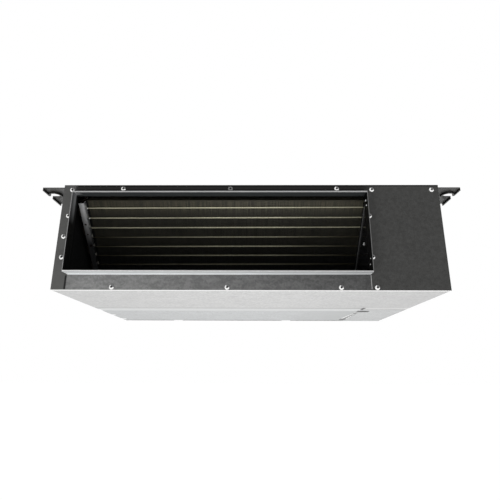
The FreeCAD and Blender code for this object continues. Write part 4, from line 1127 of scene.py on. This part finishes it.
# Floor, world and lamps.
FLOOR_AT = -1.0
FLOOR_HALF = 30.0
FLOOR_LIFT = 0.6
WORLD_LIGHT = 0.5
LAMPS = (
    ("under_lamp", (0, -0.2, -0.95), (0, 0, 0), 1.4, 9),
    ("left_front_lamp", (-1.4, -1.8, -0.8), (0, -0.2, 0.1), 0.8, 9),
)


def make_floor():
    mesh = bmesh.new()
    mesh.faces.new([mesh.verts.new((x * FLOOR_HALF, y * FLOOR_HALF, FLOOR_AT)) for x, y in
                    ((-1, -1), (1, -1), (1, 1), (-1, 1))])
    data = bpy.data.meshes.new("floor")
    mesh.to_mesh(data)
    mesh.free()
    look = Finish("pale_floor")
    grain = look.noise(0.05)
    tint = look.mixed(look.spread(grain, 0, 1), (0.84, 0.84, 0.84), (0.86, 0.86, 0.86))
    look.done(tint, look.spread(grain, 0.85, 0.95), specular=0.0)
    glow = look.add("ShaderNodeEmission")
    look.link(seen_directly(look), glow.inputs["Strength"])
    total = look.add("ShaderNodeAddShader")
    look.link(look.shader.outputs["BSDF"], total.inputs[0])
    look.link(glow.outputs["Emission"], total.inputs[1])
    look.link(total.outputs["Shader"], look.tree.nodes["Material Output"].inputs["Surface"])
    data.materials.append(look.material)
    floor = bpy.data.objects.new("floor", data)
    bpy.context.scene.collection.objects.link(floor)


def seen_directly(look):
    """A lift of the floor for camera, mirror and glass rays alone, which makes it white."""
    path = look.add("ShaderNodeLightPath")
    seen = look.larger(path.outputs["Is Camera Ray"], path.outputs["Is Glossy Ray"])
    seen = look.larger(seen, path.outputs["Is Transmission Ray"])
    return look.times(seen, FLOOR_LIFT)


def make_world():
    """Even light on the object, and white where the camera, a mirror or glass sees the world."""
    world = bpy.data.worlds.new("studio")
    bpy.context.scene.world = world
    world.use_nodes = True
    tree = world.node_tree
    tree.nodes.clear()
    path = tree.nodes.new("ShaderNodeLightPath")
    seen = path.outputs["Is Camera Ray"]
    for name in ("Is Glossy Ray", "Is Transmission Ray"):
        larger = tree.nodes.new("ShaderNodeMath")
        larger.operation = "MAXIMUM"
        tree.links.new(seen, larger.inputs[0])
        tree.links.new(path.outputs[name], larger.inputs[1])
        seen = larger.outputs["Value"]
    soft = tree.nodes.new("ShaderNodeBackground")
    soft.inputs["Strength"].default_value = WORLD_LIGHT
    white = tree.nodes.new("ShaderNodeBackground")
    white.inputs["Strength"].default_value = 1
    for node in (soft, white):
        node.inputs["Color"].default_value = (1, 1, 1, 1)
    mix = tree.nodes.new("ShaderNodeMixShader")
    tree.links.new(seen, mix.inputs["Fac"])
    tree.links.new(soft.outputs["Background"], mix.inputs[1])
    tree.links.new(white.outputs["Background"], mix.inputs[2])
    output = tree.nodes.new("ShaderNodeOutputWorld")
    tree.links.new(mix.outputs["Shader"], output.inputs["Surface"])


def make_lamp(name, place, target, wide, power):
    data = bpy.data.lights.new(name, "AREA")
    data.size = wide
    data.energy = power
    lamp = bpy.data.objects.new(name, data)
    lamp.location = place
    lamp.rotation_mode = "QUATERNION"
    lamp.rotation_quaternion = (Vector(target) - Vector(place)).to_track_quat("-Z", "Y")
    lamp.visible_camera = False
    lamp.visible_glossy = False
    bpy.context.scene.collection.objects.link(lamp)


bpy.context.scene.view_settings.view_transform = "Standard"
make_camera()
make_floor()
make_world()
for lamp in LAMPS:
    make_lamp(*lamp)
